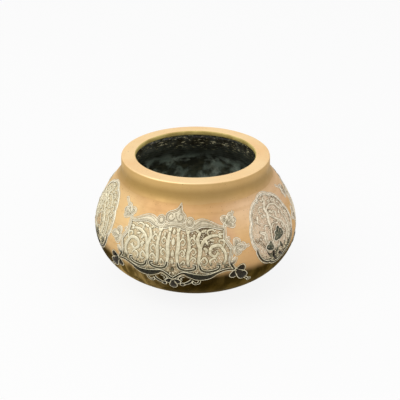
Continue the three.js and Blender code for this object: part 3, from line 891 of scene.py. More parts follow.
# %% Turn the collar
COLLAR_RADIUS, MOUTH_RADIUS, APRON_INNER, LIP_UNDER = 50.3, 40.6, 47.7, 84.7
TOP_ROUNDING, MOUTH_ROUNDING = 1.4, 1.1
HOLLOW_REACH, HOLLOW_BEND, HOLLOW_HEEL = 3.2, np.array([50.42, 77.9]), np.array([50.42, 81.2])
FOOT_DIVE = 1.6
COLLAR_GAP = 0.15
COLLAR_SIDES = 320
COLLAR_WANDER = 0.05


def arc(centre, radius, first, last, count):
    """Points from the first to the last angle, in degrees."""
    turn = np.radians(np.linspace(first, last, count))
    return np.column_stack([centre[0] + radius * np.cos(turn), centre[1] + radius * np.sin(turn)])


def apron_section():
    """The apron from inside its foot, down into the shoulder, up the hollow and on to the top edge."""
    foot = SHOULDER_HEIGHT + COLLAR_GAP
    toe = np.array([np.interp(DRAWING_RISE - HOLLOW_REACH, wall_v, column) for column in wall_line.T])
    hollow = [toe * (1 - t) ** 2 + HOLLOW_BEND * 2 * t * (1 - t) + HOLLOW_HEEL * t**2
              for t in np.linspace(0, 1, 10)]
    down = (toe - HOLLOW_BEND) / np.linalg.norm(toe - HOLLOW_BEND)
    dive = toe + down * FOOT_DIVE - (0.22, 0.16)
    return [(APRON_INNER, foot), (50.2, foot), (dive[0] - 1.2, dive[1] - 0.2), dive, *hollow,
            (50.38, 82.6), (50.35, 84.6)]


def collar():
    apron = apron_section()
    top = arc((COLLAR_RADIUS - TOP_ROUNDING, RIM_TOP - TOP_ROUNDING), TOP_ROUNDING, 0, 90, 8)
    lip = [(radius, RIM_TOP) for radius in np.linspace(47.8, 43, 6)]
    mouth = arc((MOUTH_RADIUS + MOUTH_ROUNDING, RIM_TOP - MOUTH_ROUNDING), MOUTH_ROUNDING, 90, 180, 7)
    under = [(MOUTH_RADIUS + 0.05, 86), (MOUTH_RADIUS + 0.05, 85.2), (MOUTH_RADIUS + 0.5, LIP_UNDER),
             (44, LIP_UNDER), (APRON_INNER, LIP_UNDER)]
    section = np.concatenate([apron, top, lip, mouth, under])
    grid, faces = turned_grid(section, COLLAR_SIDES)
    angle, level = around(COLLAR_SIDES)[None, :], section[:, 1][:, None]
    wander = ripple(8, angle, level, waves=9, most_turns=14) * COLLAR_WANDER
    radius = np.hypot(grid[..., 0], grid[..., 1])
    grid[..., :2] *= ((radius + wander) / radius)[..., None]
    row = np.repeat(np.arange(len(section)), COLLAR_SIDES)
    mouth_from = len(apron) + len(top) + len(lip) + 2
    face_finish = ((row >= mouth_from) & (row < len(section) - 1)).astype(int)
    return new_piece("collar", grid.reshape(-1, 3) * MM, faces, [collar_brass_finish, inner_lip_finish],
                     face_finish, replaces=["rim_collar"])


print("collar faces:", len(collar().data.polygons))

# %% [markdown]
# ## The solder under the lip
# Under the lip the solder ran down the neck in ragged tears. A torus would be far too even, so the
# ring's section changes as it goes round: chance says how long the tear is at each step, and the
# longest tears bulge most.

# %% Run the solder
SOLDER_SIDES = 420
SOLDER_INNER, SOLDER_OUTER, SOLDER_BACK = 42.6, 44.9, 45.2
SOLDER_TOP, SOLDER_LEAST, TEAR_LENGTH = 84.5, 1.2, 3.4


def ragged_solder():
    angle = around(SOLDER_SIDES)
    chance = np.random.default_rng(21).random(SOLDER_SIDES) ** 5
    tear = np.convolve(np.tile(chance, 3), np.hanning(7), "same")[SOLDER_SIDES:2 * SOLDER_SIDES]
    tear = tear / tear.max()
    low = SOLDER_TOP - SOLDER_LEAST - TEAR_LENGTH * tear
    rows = []
    for share in (0, 0.25, 0.5, 0.75, 1):
        bulge = math.sin(math.pi * share) * (0.2 + 0.5 * tear)
        radius = SOLDER_INNER + (SOLDER_OUTER - SOLDER_INNER) * share - bulge
        rows.append((radius, SOLDER_TOP + (low - SOLDER_TOP) * share))
    rows += [(SOLDER_BACK, low), (SOLDER_BACK, SOLDER_TOP + 0.1)]
    grid = np.stack([np.column_stack([radius * np.sin(angle), -radius * np.cos(angle), level + 0 * angle])
                     for radius, level in rows])
    return new_piece("solder_run", grid.reshape(-1, 3) * MM, ring_faces(len(rows), SOLDER_SIDES),
                     [solder_finish], replaces=["rim_solder"])


print("solder faces:", len(ragged_solder().data.polygons))

# %% [markdown]
# ## A sheet of drawings
# The silver is drawn flat before it goes on the wall. Each piece could be a curve object of its own,
# but a piece is made of many forms, so a Drawing gathers their points and faces, can be turned over
# for the left side as paper can, and is then laid on a field as one piece. A piece that has the name
# of a node in the frame stands for that node.

# %% Gather and lay drawings
SHEET, GROOVE, THREAD = 0, 1, 2
SILVER, FRAME_SILVER, RING_SILVER = ((metal, "silver") for metal in
                                     (silver_finish, frame_silver_finish, ring_silver_finish))
DARK_SILVER, OLIVE_SILVER = (dark_silver_finish, "dark_silver"), (olive_silver_finish, "dark_silver")
BARE_BRASS = (bare_bud_finish, "silver")


class Drawing:
    """Flat forms of silver that will become one piece of the bowl."""

    def __init__(self):
        self.points, self.faces, self.finishes = [], [], []
        self.count = 0

    def add(self, points, faces, finishes):
        self.points.append(points)
        self.faces += [[i + self.count for i in face] for face in faces]
        self.finishes += finishes
        self.count += len(points)

    def mirror(self):
        """The same drawing on the other side of its centre line."""
        other = Drawing()
        flipped = [points * [-1, 1, 1] for points in self.points]
        other.add(np.concatenate(flipped), [face[::-1] for face in self.faces], list(self.finishes))
        return other

    def lay(self, name, field, metal=SILVER):
        """Wraps the drawing round the wall as a piece of a metal, which is a finish and its slot; the slot is
        not used.
        """
        sheet, slot = metal
        name = f"{field['name']}_{name}"
        return new_piece(name, wrap(np.concatenate(self.points), field), self.faces,
                         [sheet, groove_finish, thread_finish], self.finishes,
                         replaces=[name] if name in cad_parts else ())


print("metals for a drawing:", [sheet.name for sheet, _ in (SILVER, FRAME_SILVER, RING_SILVER, DARK_SILVER)])

# %% [markdown]
# ## The section of a strip
# A strip of inlay is a sheet with a slight crown, a dark groove, a bright thread and a dark line on each
# side, closed underneath like the real strip of metal. A bevelled curve could give one height, but not
# four bands side by side. So half the section is written down with a finish for each face and then
# doubled. The small scrolls have no thread, only a groove.

# %% Set out the section of a strip
THREAD_OUT, THREAD_IN, OUTER_DARK_LINE = 0.78, 0.34, 0.16
# Each row: the share of the strip's half width, the distance beyond that, the height above the wall,
# and the finish of the face that ends there.
THREADED_HALF = [
    (1, THREAD_OUT + OUTER_DARK_LINE, -0.6, GROOVE), (1, THREAD_OUT + OUTER_DARK_LINE, 0.03, GROOVE),
    (1, THREAD_OUT, 0.04, GROOVE), (1, THREAD_OUT - 0.03, 0.11, THREAD), (1, THREAD_IN, 0.12, THREAD),
    (1, THREAD_IN - 0.06, -0.18, GROOVE), (1, 0.06, -0.18, GROOVE), (1, 0.0, 0.04, SHEET),
    (0.55, 0, 0.13, SHEET),
]
BARE_HALF = [(1, 0.3, -0.6, GROOVE), (1, 0.28, -0.3, GROOVE), (1, 0, -0.3, GROOVE), (1, 0, 0.05, SHEET),
             (0.5, 0, 0.14, SHEET)]


def full_section(half):
    """A half section and its mirror image, with the finish of the face that starts at each point."""
    right = [(side, beyond, height) for side, beyond, height, _ in half]
    left = [(-side, -beyond, height) for side, beyond, height in right[::-1]]
    finishes = [finish for *_, finish in half]
    return np.array(right + left, float), finishes[1:] + finishes[-1:] + finishes[:0:-1] + finishes[:1]


print("points in a threaded section:", len(full_section(THREADED_HALF)[0]))

# %% [markdown]
# ## A strip of inlay
# A strip is drawn as a line with a width, and the section is swept along it. The curve tool would
# round a sharp corner or pinch it. Here the sideways direction is lengthened at a corner, so that the
# thread runs on at an even distance.

# %% Sweep a strip
def sideways(line, closed):
    """The direction to the right of each point of a line, lengthened at sharp corners."""
    after = np.roll(line, -1, axis=0) - line
    before = line - np.roll(line, 1, axis=0)
    if not closed:
        after[-1], before[0] = before[-1], after[0]
    after /= np.maximum(np.linalg.norm(after, axis=1), 1e-9)[:, None]
    before /= np.maximum(np.linalg.norm(before, axis=1), 1e-9)[:, None]
    right = np.column_stack([after[:, 1] + before[:, 1], -after[:, 0] - before[:, 0]])
    right /= np.maximum(np.linalg.norm(right, axis=1), 1e-9)[:, None]
    reach = np.clip(right[:, 0] * after[:, 1] - right[:, 1] * after[:, 0], 0.6, 1)
    return right / reach[:, None]


def strip(drawing, run, closed=False, with_thread=True):
    """Sweeps the section along a run of rows of x, v and half width."""
    run = np.asarray(run, float)
    section, finishes = full_section(THREADED_HALF if with_thread else BARE_HALF)
    side = sideways(run[:, :2], closed)
    offset = section[:, 0][None, :] * run[:, 2][:, None] + section[:, 1][None, :]
    flat = run[:, None, :2] + side[:, None, :] * offset[..., None]
    height = np.broadcast_to(section[:, 2][None, :, None], flat.shape[:2] + (1,))
    rows, columns = len(run), len(section)
    faces, slots = [], []
    for i in range(rows if closed else rows - 1):
        j = (i + 1) % rows
        for k in range(columns):
            m = (k + 1) % columns
            faces.append([i * columns + k, j * columns + k, j * columns + m, i * columns + m])
            slots.append(finishes[k])
    if not closed:
        faces += [list(range(columns)), list(range((rows - 1) * columns, rows * columns))[::-1]]
        slots += [THREAD if with_thread else GROOVE] * 2
    drawing.add(np.concatenate([flat, height], axis=2).reshape(-1, 3), faces, slots)


test = Drawing()
strip(test, [(0, 0, 1), (4, 3, 1), (8, 4, 1)])
print("a strip of three rows has", test.count, "points")

# %% [markdown]
# ## A flower of inlay
# A palmette, a petal or a roundel is a closed outline that rises to a crown at its centre. An inset
# and a bevel on a filled face would make the same steps, but they fold over at sharp corners. Rings
# that shrink towards a chosen centre never do, as long as the centre sees the whole outline.

# %% Fill an outline
EDGE_HEIGHT, CROWN, UNDERSIDE = 0.12, 0.2, -0.6


def flower(drawing, outline, centre, lift=0.0):
    """A closed outline with the strip's thread and groove round it and a crown of its own.

    The lift raises all of it but the underside.
    """
    side = sideways(outline, True)
    count = len(outline)
    rings, slots = [], []
    for _, beyond, height, finish in THREADED_HALF[:-1]:
        level = height if height == UNDERSIDE else height + lift
        rings.append(np.column_stack([outline + side * beyond, np.full(count, level)]))
        slots.append(finish)
    for share, height in ((0.7, EDGE_HEIGHT), (0.35, EDGE_HEIGHT + CROWN / 2)):
        rings.append(np.column_stack([centre + (outline - centre) * share, np.full(count, height + lift)]))
        slots.append(SHEET)
    faces, finishes = [], []
    for ring_number in range(len(rings) - 1):
        low, high = ring_number * count, (ring_number + 1) * count
        for i in range(count):
            j = (i + 1) % count
            faces.append([low + i, low + j, high + j, high + i])
            finishes.append(slots[ring_number + 1])
    innermost, top = (len(rings) - 1) * count, len(rings) * count
    middle = np.array([[*centre, EDGE_HEIGHT + CROWN + lift], [*centre, UNDERSIDE]])
    for i in range(count):
        j = (i + 1) % count
        faces += [[innermost + i, innermost + j, top], [j, i, top + 1]]
        finishes += [SHEET, THREAD]
    drawing.add(np.concatenate([*rings, middle]), faces, finishes)


def ring(x, v, radius, corners=32):
    turn = around(corners)
    return np.column_stack([x + radius * np.cos(turn), v + radius * np.sin(turn)])


test = Drawing()
flower(test, ring(0, 0, 3), np.zeros(2))
print("a roundel has", test.count, "points")

# %% [markdown]
# ## Petals, stems and leaves
# Nearly all of the ornament comes down to three shapes: a petal that is widest past its middle, a stem
# that swells and thins to both ends, and a drop-shaped leaf that bends. They could be drawn point by
# point, but a few numbers for each keep them alike, as one hand would.

# %% Draw petals, stems and leaves
PETAL_CORNERS = 30


def petal(x, v, heading, length, width):
    """A petal's outline from its foot, blunt at the end, with its middle."""
    turn = around(PETAL_CORNERS)
    along = length * (1 - np.cos(turn)) / 2
    side = -width / 1.4 * np.sin(turn) * (0.6 - 0.4 * np.cos(turn))
    way = math.radians(heading)
    outline = np.column_stack([x + along * math.cos(way) - side * math.sin(way),
                               v + along * math.sin(way) + side * math.cos(way)])
    return outline, np.array([x + 0.6 * length * math.cos(way), v + 0.6 * length * math.sin(way)])


def stem(points, width, step=0.7, blunt=0.5):
    """A run that swells in the middle. Its ends keep the blunt share of the width."""
    run = curved([(x, v, 0) for x, v in points], step=step)
    share = np.linspace(0, 1, len(run))
    run[:, 2] = width / 2 * (blunt + (1 - blunt) * np.sin(math.pi * share))
    return run


def leaf(x, v, heading, length, width, bend):
    """A drop-shaped leaf from its foot, with its width ahead of the middle."""
    t = np.linspace(0, 1, max(7, int(length / 0.5)))
    turn = math.radians(heading) + bend * t
    step = length / (len(t) - 1)
    line = np.cumsum(np.column_stack([np.cos(turn), np.sin(turn)]) * step, axis=0) + [x, v]
    half = width / 2 * np.sin(math.pi * t**0.75) ** 0.8 + 0.12
    return np.column_stack([line, half])


print("a stem of 10 mm has", len(stem([(0, 0), (6, 8)], 2)), "rows, and a leaf", len(leaf(0, 0, 90, 10, 2, 0)))

# %% [markdown]
# ## Veins and eyes
# The engraver cut fine dark lines into the silver: veins in petals, rings round little bosses. A cut
# would be a Boolean, which is slow and fragile on hundreds of lines. A hair-thin dark strip that
# stands just proud of the silver looks the same and never flickers.

# %% Engrave veins and eyes
VEIN_HALF = 0.19


def vein(drawing, points, half=VEIN_HALF, level=0.24):
    """A dark line through the points, with its top at a level above the wall."""
    run = curved([(x, v, half) for x, v in points], step=0.5)
    side = sideways(run[:, :2], False)
    rows = [np.column_stack([run[:, :2] + side * run[:, 2:] * share, np.full(len(run), height)])
            for share, height in ((1, -0.1), (0.8, level), (-0.8, level), (-1, -0.1))]
    count = len(run)
    faces = [[k * count + i, k * count + i + 1, m * count + i + 1, m * count + i]
             for k, m in ((0, 1), (1, 2), (2, 3), (3, 0)) for i in range(count - 1)]
    faces += [[k * count for k in range(4)], [k * count + count - 1 for k in (3, 2, 1, 0)]]
    drawing.add(np.concatenate(rows), faces, [GROOVE] * len(faces))


def eye(drawing, x, v, radius, level=0.5):
    """A dark ring cut round a little boss, in two halves."""
    run = ring(x, v, radius, 18)
    for part in (run[:10], np.concatenate([run[9:], run[:1]])):
        vein(drawing, part, 0.16, level)


test = Drawing()
eye(test, 0, 0, 1.8)
print("an eye has", test.count, "points")

# %% [markdown]
# ## Posies
# The finials and the pendant are posies: petals that share one foot, each a little above the last, as
# if one sheet were laid over the next. They could be one flat outline, but the steps between the
# petals catch the light. Each petal has a vein, and a broad one an eye too.

# %% Gather petals into a posy
PETAL_STEP = 0.05
VEIN_SHARES = (0.1, 0.28, 0.46)
EYE_FROM_WIDTH, EYE_SHARE = 2.6, 0.2


def pointing(heading):
    """One step in the drawing towards a heading in degrees, where 90 is up."""
    way = math.radians(heading)
    return np.array([math.cos(way), math.sin(way)])


def posy(x, v, petals):
    """A flower from rows of heading, length and width."""
    drawing = Drawing()
    for number, (heading, length, width) in enumerate(petals):
        outline, middle = petal(x, v, heading, length, width)
        flower(drawing, outline, middle, lift=PETAL_STEP * number)
        level = 0.36 + PETAL_STEP * number
        line = [np.array([x, v]) + pointing(heading) * length * share for share in VEIN_SHARES]
        vein(drawing, line, level=level)
        if width > EYE_FROM_WIDTH:
            eye(drawing, *middle, width * EYE_SHARE, level + 0.02)
    return drawing


print("a posy of two petals has", posy(0, 0, [(0, 5, 3), (90, 5, 3)]).count, "points")

# %% [markdown]
# ## The cartouche's frame
# The frame is one closed strip that swells into leaves along its top and foot, with chased lines on
# the swellings. A palmette and two roundels crown it. All could be cut from one outline, but each is
# its own piece of silver on the bowl, so each is drawn alone. The palmette leans a little, as it does
# there, and has a spiral cut in each half.

# %% Draw the frame, the palmette and the roundel
FRAME_VEINS = [
    ((1, 28.2), (4, 27.9), (7.4, 26.6)), ((1, 27.2), (4, 26.7), (8, 25.5)),
    ((14.6, 27.3), (18, 29.6), (21.5, 30.0), (26, 28.6), (31, 26.1)),
    ((15.2, 26.3), (18.6, 27.8), (23, 27.9), (28, 26.6)),
    ((11.4, -5.4), (15, -6.9), (20, -7.5), (25, -6.4)), ((14, -7.7), (18, -8.5), (22, -8.0)),
]
PALMETTE = [
    (0, 29.1), (2.8, 28.8), (5.8, 29.1), (7.5, 31.0), (7.1, 33.4), (5.4, 35.0), (4.2, 36.6), (3.5, 38.6),
    (3.2, 40.8), (2.2, 39.0), (0.4, 37.2), (-2.6, 35.9), (-5.4, 35.0), (-7.1, 33.4), (-7.5, 31.0),
    (-5.8, 29.1), (-2.8, 28.8), (0, 29.1),
]
PALMETTE_TIP, PALMETTE_CENTRE = 8, np.array([0.4, 32.8])
SPIRAL = [
    (0.5, 34.8), (0.7, 31.6), (2.6, 29.9), (5.0, 30.6), (5.6, 32.6), (4.0, 34.2), (2.4, 33.2), (2.8, 31.8),
]
ROUNDEL, ROUNDEL_RADIUS, ROUNDEL_EYE = np.array([10.9, 29.4]), 2.8, 1.8


def frame_strip():
    drawing = Drawing()
    strip(drawing, borders["cartouche"], closed=True)
    for line in FRAME_VEINS:
        for side in (-1, 1):
            vein(drawing, [(side * x, v) for x, v in line], 0.15, 0.2)
    return drawing


def palmette():
    outline = curved([(x, v, 0) for x, v in PALMETTE], sharp=[PALMETTE_TIP], step=0.5)[:-1, :2]
    drawing = Drawing()
    flower(drawing, outline, PALMETTE_CENTRE, lift=0.12)
    for side in (-1, 1):
        vein(drawing, [(side * x, v) for x, v in SPIRAL], level=0.5)
    vein(drawing, [(-2.6, 35.0), (0.8, 36.4), (2.9, 39.4)], level=0.44)
    vein(drawing, [(4.2, 35.2), (3.3, 37.2), (3.1, 39.6)], level=0.44)
    return drawing


def roundel():
    drawing = Drawing()
    flower(drawing, ring(*ROUNDEL, ROUNDEL_RADIUS), ROUNDEL, lift=0.14)
    eye(drawing, *ROUNDEL, ROUNDEL_EYE)
    return drawing


frame_pieces = {"border": frame_strip(), "palmette": palmette()}
print("points in the frame:", {name: drawing.count for name, drawing in frame_pieces.items()})

# %% [markdown]
# ## Lay the frame with its finials
# Finials grow from the frame's corners and sides, and a dark pendant hangs from it. The Mirror
# modifier could double what comes in pairs. We turn the drawing over instead, as the maker did with
# one half on a fold of paper, and so right and left stay two pieces. Only the upper finials differ:
# the left one's tail is longer and curls.

# %% Draw the finials and lay the frame
UPPER_TAILS = {
    "right": [(43.0, 32.8), (44.4, 33.8), (45.2, 34.8)],
    "left": [(43.0, 32.8), (45.8, 34.4), (48.4, 36.2), (49.4, 35.2)],
}


def sides(drawing):
    """The drawing for the right side, and turned over for the left."""
    return (("right", drawing), ("left", drawing.mirror()))


def upper_finial(tail):
    drawing = posy(36.9, 27.4, [(98, 4.8, 4.2), (-14, 7.0, 3.0), (42, 8.6, 3.2), (14, 8.4, 3.0)])
    strip(drawing, stem([(35.9, 24.9), (36.3, 26.4), (37, 27.8)], 1.0, blunt=0.9))
    strip(drawing, stem(tail, 0.5))
    return drawing


def side_finial():
    drawing = posy(41.6, 11.6, [(66, 5.6, 4.2), (-62, 5.0, 4.2), (-2, 7.2, 4.0)])
    strip(drawing, stem([(39.8, 11.2), (42.4, 11.5)], 1.0, blunt=0.9))
    strip(drawing, stem([(48.2, 11.4), (50.2, 10.9), (52.0, 11.4)], 0.5))
    return drawing


def pendant():
    drawing = posy(0, -10.2, [(-155, 5.0, 3.4), (-25, 5.0, 3.4), (-90, 8.0, 4.2)])
    strip(drawing, stem([(0, -17), (0, -19.6)], 0.5, blunt=0.2))
    return drawing


def lay_cartouche_frame(field):
    for name, drawing in frame_pieces.items():
        drawing.lay(name, field, FRAME_SILVER)
    pendant().lay("pendant", field, DARK_SILVER)
    for side, drawing in sides(roundel()):
        drawing.lay(f"roundel_{side}", field, FRAME_SILVER)
    upper_finial(UPPER_TAILS["right"]).lay("finial_upper_right", field, FRAME_SILVER)
    upper_finial(UPPER_TAILS["left"]).mirror().lay("finial_upper_left", field, FRAME_SILVER)
    for side, drawing in sides(side_finial()):
        drawing.lay(f"finial_side_{side}", field, FRAME_SILVER)
    for side, drawing in sides(posy(41.2, -3.8, [(-108, 6.0, 4.2), (6, 6.4, 4.4), (-46, 11, 5.4)])):
        drawing.lay(f"finial_lower_{side}", field, DARK_SILVER)


for field in CARTOUCHES:
    lay_cartouche_frame(field)
print("cartouche frames laid:", len(CARTOUCHES))

# %% [markdown]
# ## Scrollwork in the cartouche
# The field inside the frame is packed with scrolls: upright stems with a split leaf at the top, a
# great spiral, small curls between them and drops wherever a gap is left. A picture of scrollwork
# could be laid on, but then it would have no edges to catch the light. So each stem is a row of points
# with a width, and the gaps are filled by drop-shaped leaves. Both halves are the same, so the eye
# reads a pattern. The stems rise from dark sweeps with curled ends, at the foot.

# %% Set out the scrollwork
STEMS = [
    ([(32.8, 1.2), (34.6, 5), (34.2, 9.4), (31, 14.2), (25.8, 13.6), (24.4, 9.6), (27.6, 7.4),
      (29.6, 9.6)], 2.1),
    ([(3.4, 3.2), (3, 8), (3.6, 15), (3, 22.8)], 2.6),
    ([(10.6, 0.6), (10, 7), (10.8, 14), (9.8, 22)], 2.2),
    ([(17.4, 1.6), (17, 5), (18, 12), (16.4, 18), (18.4, 23.6)], 2.6),
    ([(17.8, 11.6), (20.5, 17.5), (25.5, 20.5), (30.5, 20.6)], 2.2),
]
DARK_FEET = [
    ([(3.2, 3.6), (4.4, -0.2), (7.6, -1.7), (11.4, -1.8), (14.6, -0.6), (14.8, 1.6), (13.0, 1.7)], 0.8),
    ([(17.4, 2.2), (18.6, -1.4), (22, -3.0), (26.8, -2.6), (30.0, -1.0), (30.2, 1.3), (28.3, 1.6)], 0.8),
]
CURLS = [
    ([(4.6, 1.6), (7.2, 4.6), (8.0, 2.6), (6.6, 1.8)], 1.0),
    ([(3.4, 8.4), (6.2, 11.4), (7.8, 9.4), (6.6, 7.6), (5.6, 8.6)], 1.1),
    ([(3.6, 15.6), (6.4, 18.8), (8.0, 16.8), (6.8, 14.8), (5.8, 15.8)], 1.1),
    ([(10.4, 4), (13.4, 7.2), (15.2, 5.2), (13.8, 3.8)], 1.1),
    ([(10.4, 9.6), (13.4, 13), (15.2, 10.8), (13.8, 8.8), (12.8, 9.8)], 1.1),
    ([(10.6, 16), (12.6, 19.8), (14.8, 17.6), (13.6, 15.4), (12.6, 16.2)], 1.1),
    ([(17.2, 3.6), (20.6, 7), (22.4, 4.4), (20.8, 2.2), (19.4, 3.2)], 1.2),
    ([(25.0, 1.2), (24.2, 4.8), (27.4, 6.2), (28.6, 4.4)], 1.1),
    ([(33.4, 12.6), (34.4, 16.6), (31.4, 17.6), (30.8, 15.8)], 1.2),
    ([(24.4, 20), (23.4, 23.6), (27, 24.6), (28.8, 22.8)], 1.2),
]
LEAVES = [
    (2.6, 22.4, 55, 3.4, 1.5, 0.5), (3.4, 22.4, 125, 3.2, 1.4, -0.5), (9.4, 21.6, 50, 3.2, 1.4, 0.5),
    (10.2, 21.6, 128, 3.2, 1.4, -0.5), (18.4, 23.2, 10, 4.2, 1.6, 0.3), (18.2, 23.2, 160, 3.2, 1.4, -0.3),
    (30.2, 20.6, 25, 3.6, 1.7, -0.6), (30.2, 20.6, -35, 2.8, 1.3, 0.3), (19.6, 13.4, -20, 3.8, 1.6, -0.5),
    (21.2, 9.4, 60, 3.0, 1.3, 0.4), (28.2, 17.2, 160, 3.4, 1.4, 0.2), (21.8, 18.6, -75, 3.6, 1.4, 0.3),
    (14.2, 22.4, -90, 2.8, 1.3, 0.0), (6.4, 22.6, -90, 2.8, 1.3, 0.0), (0, 6.4, 90, 4.4, 2.0, 0.0),
    (0, 13.6, 90, 5.2, 2.2, 0.0), (0, 20.6, 90, 4.0, 1.8, 0.0), (0, 1.4, 90, 3.4, 1.7, 0.0),
    (0, -3.6, 90, 3.0, 1.2, 0.0), (33.2, -0.9, 25, 3.0, 1.1, 0.3), (35.2, 6.6, 95, 3.2, 1.1, 0.2),
    (8, 13.2, -80, 2.2, 1.1, 0), (30.4, 7.8, 100, 2.8, 1.2, 0.7),
]
print("stems, curls and leaves in half a cartouche:", len(STEMS), len(CURLS), len(LEAVES))

# %% [markdown]
# ## Laying the scrolls
# The right half is drawn once, the leaves on the centre line apart from it, so that turning the half
# over doesn't lay them twice. The scrolls could have threads like the frame, but there is no room for
# them: they have only a groove. The dark sweeps are threaded, and a more olive silver.

# %% Draw and lay the scrollwork
STEM_BLUNT, SWEEP_BLUNT, CURL_STEP = 0.62, 0.3, 0.5


def scrollwork():
    """The right half's stems, curls and leaves, and the leaves on the centre line."""
    half, middle = Drawing(), Drawing()
    for points, width in STEMS:
        strip(half, stem(points, width, blunt=STEM_BLUNT), with_thread=False)
    for points, width in CURLS:
        strip(half, stem(points, width, step=CURL_STEP), with_thread=False)
    for x, *rest in LEAVES:
        strip(middle if x == 0 else half, leaf(x, *rest), with_thread=False)
    return half, middle


def dark_feet():
    """The dark sweeps from which the right half's stems rise."""
    drawing = Drawing()
    for points, width in DARK_FEET:
        strip(drawing, stem(points, width, blunt=SWEEP_BLUNT))
    return drawing


scroll_half, scroll_middle = scrollwork()
feet = dark_feet()
for field in CARTOUCHES:
    for side, drawing in sides(scroll_half):
        drawing.lay(f"scroll_{side}", field)
    for side, drawing in sides(feet):
        drawing.lay(f"feet_{side}", field, OLIVE_SILVER)
    scroll_middle.lay("middle_leaves", field)
print("half a cartouche's scrollwork has", scroll_half.count, "points, and its sweeps", feet.count)

# %% [markdown]
# ## Tendrils round the cartouche
# Thin dark tendrils hang under the frame: a curl on each side of the pendant, a hook further out, and
# a tail from each lower finial that ends in a tiny ring. Two pale barbs stand beside the frame. Lines
# this thin could be left to the finish, but they cross from brass to shadow, where only real metal
# keeps its edge. They are strips like the rest, thinner.

# %% Draw and lay the tendrils
def tendrils():
    """The right side's tendrils: the dark ones below the frame, and the pale barbs beside it."""
    dark, pale = Drawing(), Drawing()
    strip(dark, stem([(12.6, -9.6), (11.2, -11.6), (9, -13.2), (7, -14)], 1.2))
    flower(dark, ring(6.3, -14.6, 1.1, 20), np.array([6.3, -14.6]))
    strip(dark, stem([(17.6, -10.6), (17, -12.6), (15, -13.6), (13.6, -12.4), (14.4, -11.2)], 0.6))
    strip(dark, stem([(7.6, -6.6), (5.4, -7.6), (4.4, -9.6), (6.2, -10.6)], 0.5))
    strip(dark, stem([(48.6, -11.8), (50.4, -13.6), (52.4, -15)], 0.4))
    strip(dark, np.column_stack([ring(53.2, -15.9, 0.9, 20), np.full(20, 0.1)]), closed=True)
    strip(pale, leaf(36.0, 17.4, 10, 2.6, 0.9, 0.3))
    strip(pale, leaf(38.2, 0.4, 52, 5.6, 1.7, 0.1))
    return dark, pale


dark_tendrils, pale_barbs = tendrils()
for field in CARTOUCHES:
    for side, drawing in sides(dark_tendrils):
        drawing.lay(f"tendrils_{side}", field, DARK_SILVER)
    for side, drawing in sides(pale_barbs):
        drawing.lay(f"barbs_{side}", field, FRAME_SILVER)
print("tendrils have", dark_tendrils.count, "points a side, and barbs", pale_barbs.count)

# %% [markdown]
# ## The medallions
# Each medallion is a lobed ring of thin strip, with a thread on each side, round a branching spray.
# The spray isn't the same on both sides: it leans, as a drawn plant does, with one large dark flower
# low in the middle and a smaller one beside it, each on dark stems. A mirrored half would be quicker
# and would look stamped, so every branch, sprig and leaf has its own row here.

# %% Set out the spray
SPRAY = [
    ([(-4.6, 16.6), (-4.4, 21.6), (-2.6, 25.6), (-3.8, 29.2), (-1.4, 32.2), (0.4, 35)], 2.4),
    ([(-1.6, -6.8), (-1.8, -2.4), (0.2, 2), (1.2, 5.4)], 1.1),
    ([(-1.2, -1.8), (-3.4, 1.2), (-5.2, 6), (-5.4, 12), (-4.6, 16.6)], 0.8),
    ([(-2.6, 25.4), (0.4, 22.6), (4, 19.8), (9.4, 15.6), (12.2, 9), (10.6, 3)], 1.2),
    ([(-3.2, 27.6), (3, 30.2), (9.4, 28.4), (13.2, 23.2)], 1.1),
]
DARK_STEMS = [
    ([(-7.6, 2.4), (-5.2, -0.4), (-4.4, -4.0), (-0.8, -7.6)], 1.4),
    ([(6.4, -7.2), (3.4, -5.2), (0.6, -3.2)], 1.3),
    ([(4.8, -0.4), (2.8, 2.4), (1.9, 4.2)], 1.3),
]
SPRIGS = [
    ([(-4.8, 15), (-1.4, 17.8), (1.6, 17.2)], 0.8),
    ([(4.4, 19.6), (6.2, 23.6), (3.6, 25.4), (2.2, 23.6)], 0.9),
    ([(10.4, 13.6), (8.6, 11.8), (7.6, 14.6)], 0.7),
    ([(-3.6, 30.6), (-8.4, 31.4), (-9.8, 28.4), (-7.8, 27.2)], 0.9),
    ([(-4.8, 18), (-9.2, 19), (-10.6, 16.4)], 0.9),
    ([(11.6, 4), (14.6, 0.4), (12.2, -1.6)], 0.8), ([(-6.4, -0.9), (-8.4, -1.5), (-10.6, 0.2)], 0.8),
    ([(12.6, 24), (16, 25.4), (17.4, 22.4)], 0.8),
    ([(9.4, 27.6), (11.6, 31), (8.8, 32.4), (7.8, 30.6)], 0.8), ([(12, 8), (16, 10.6), (17.4, 7.6)], 0.7),
]
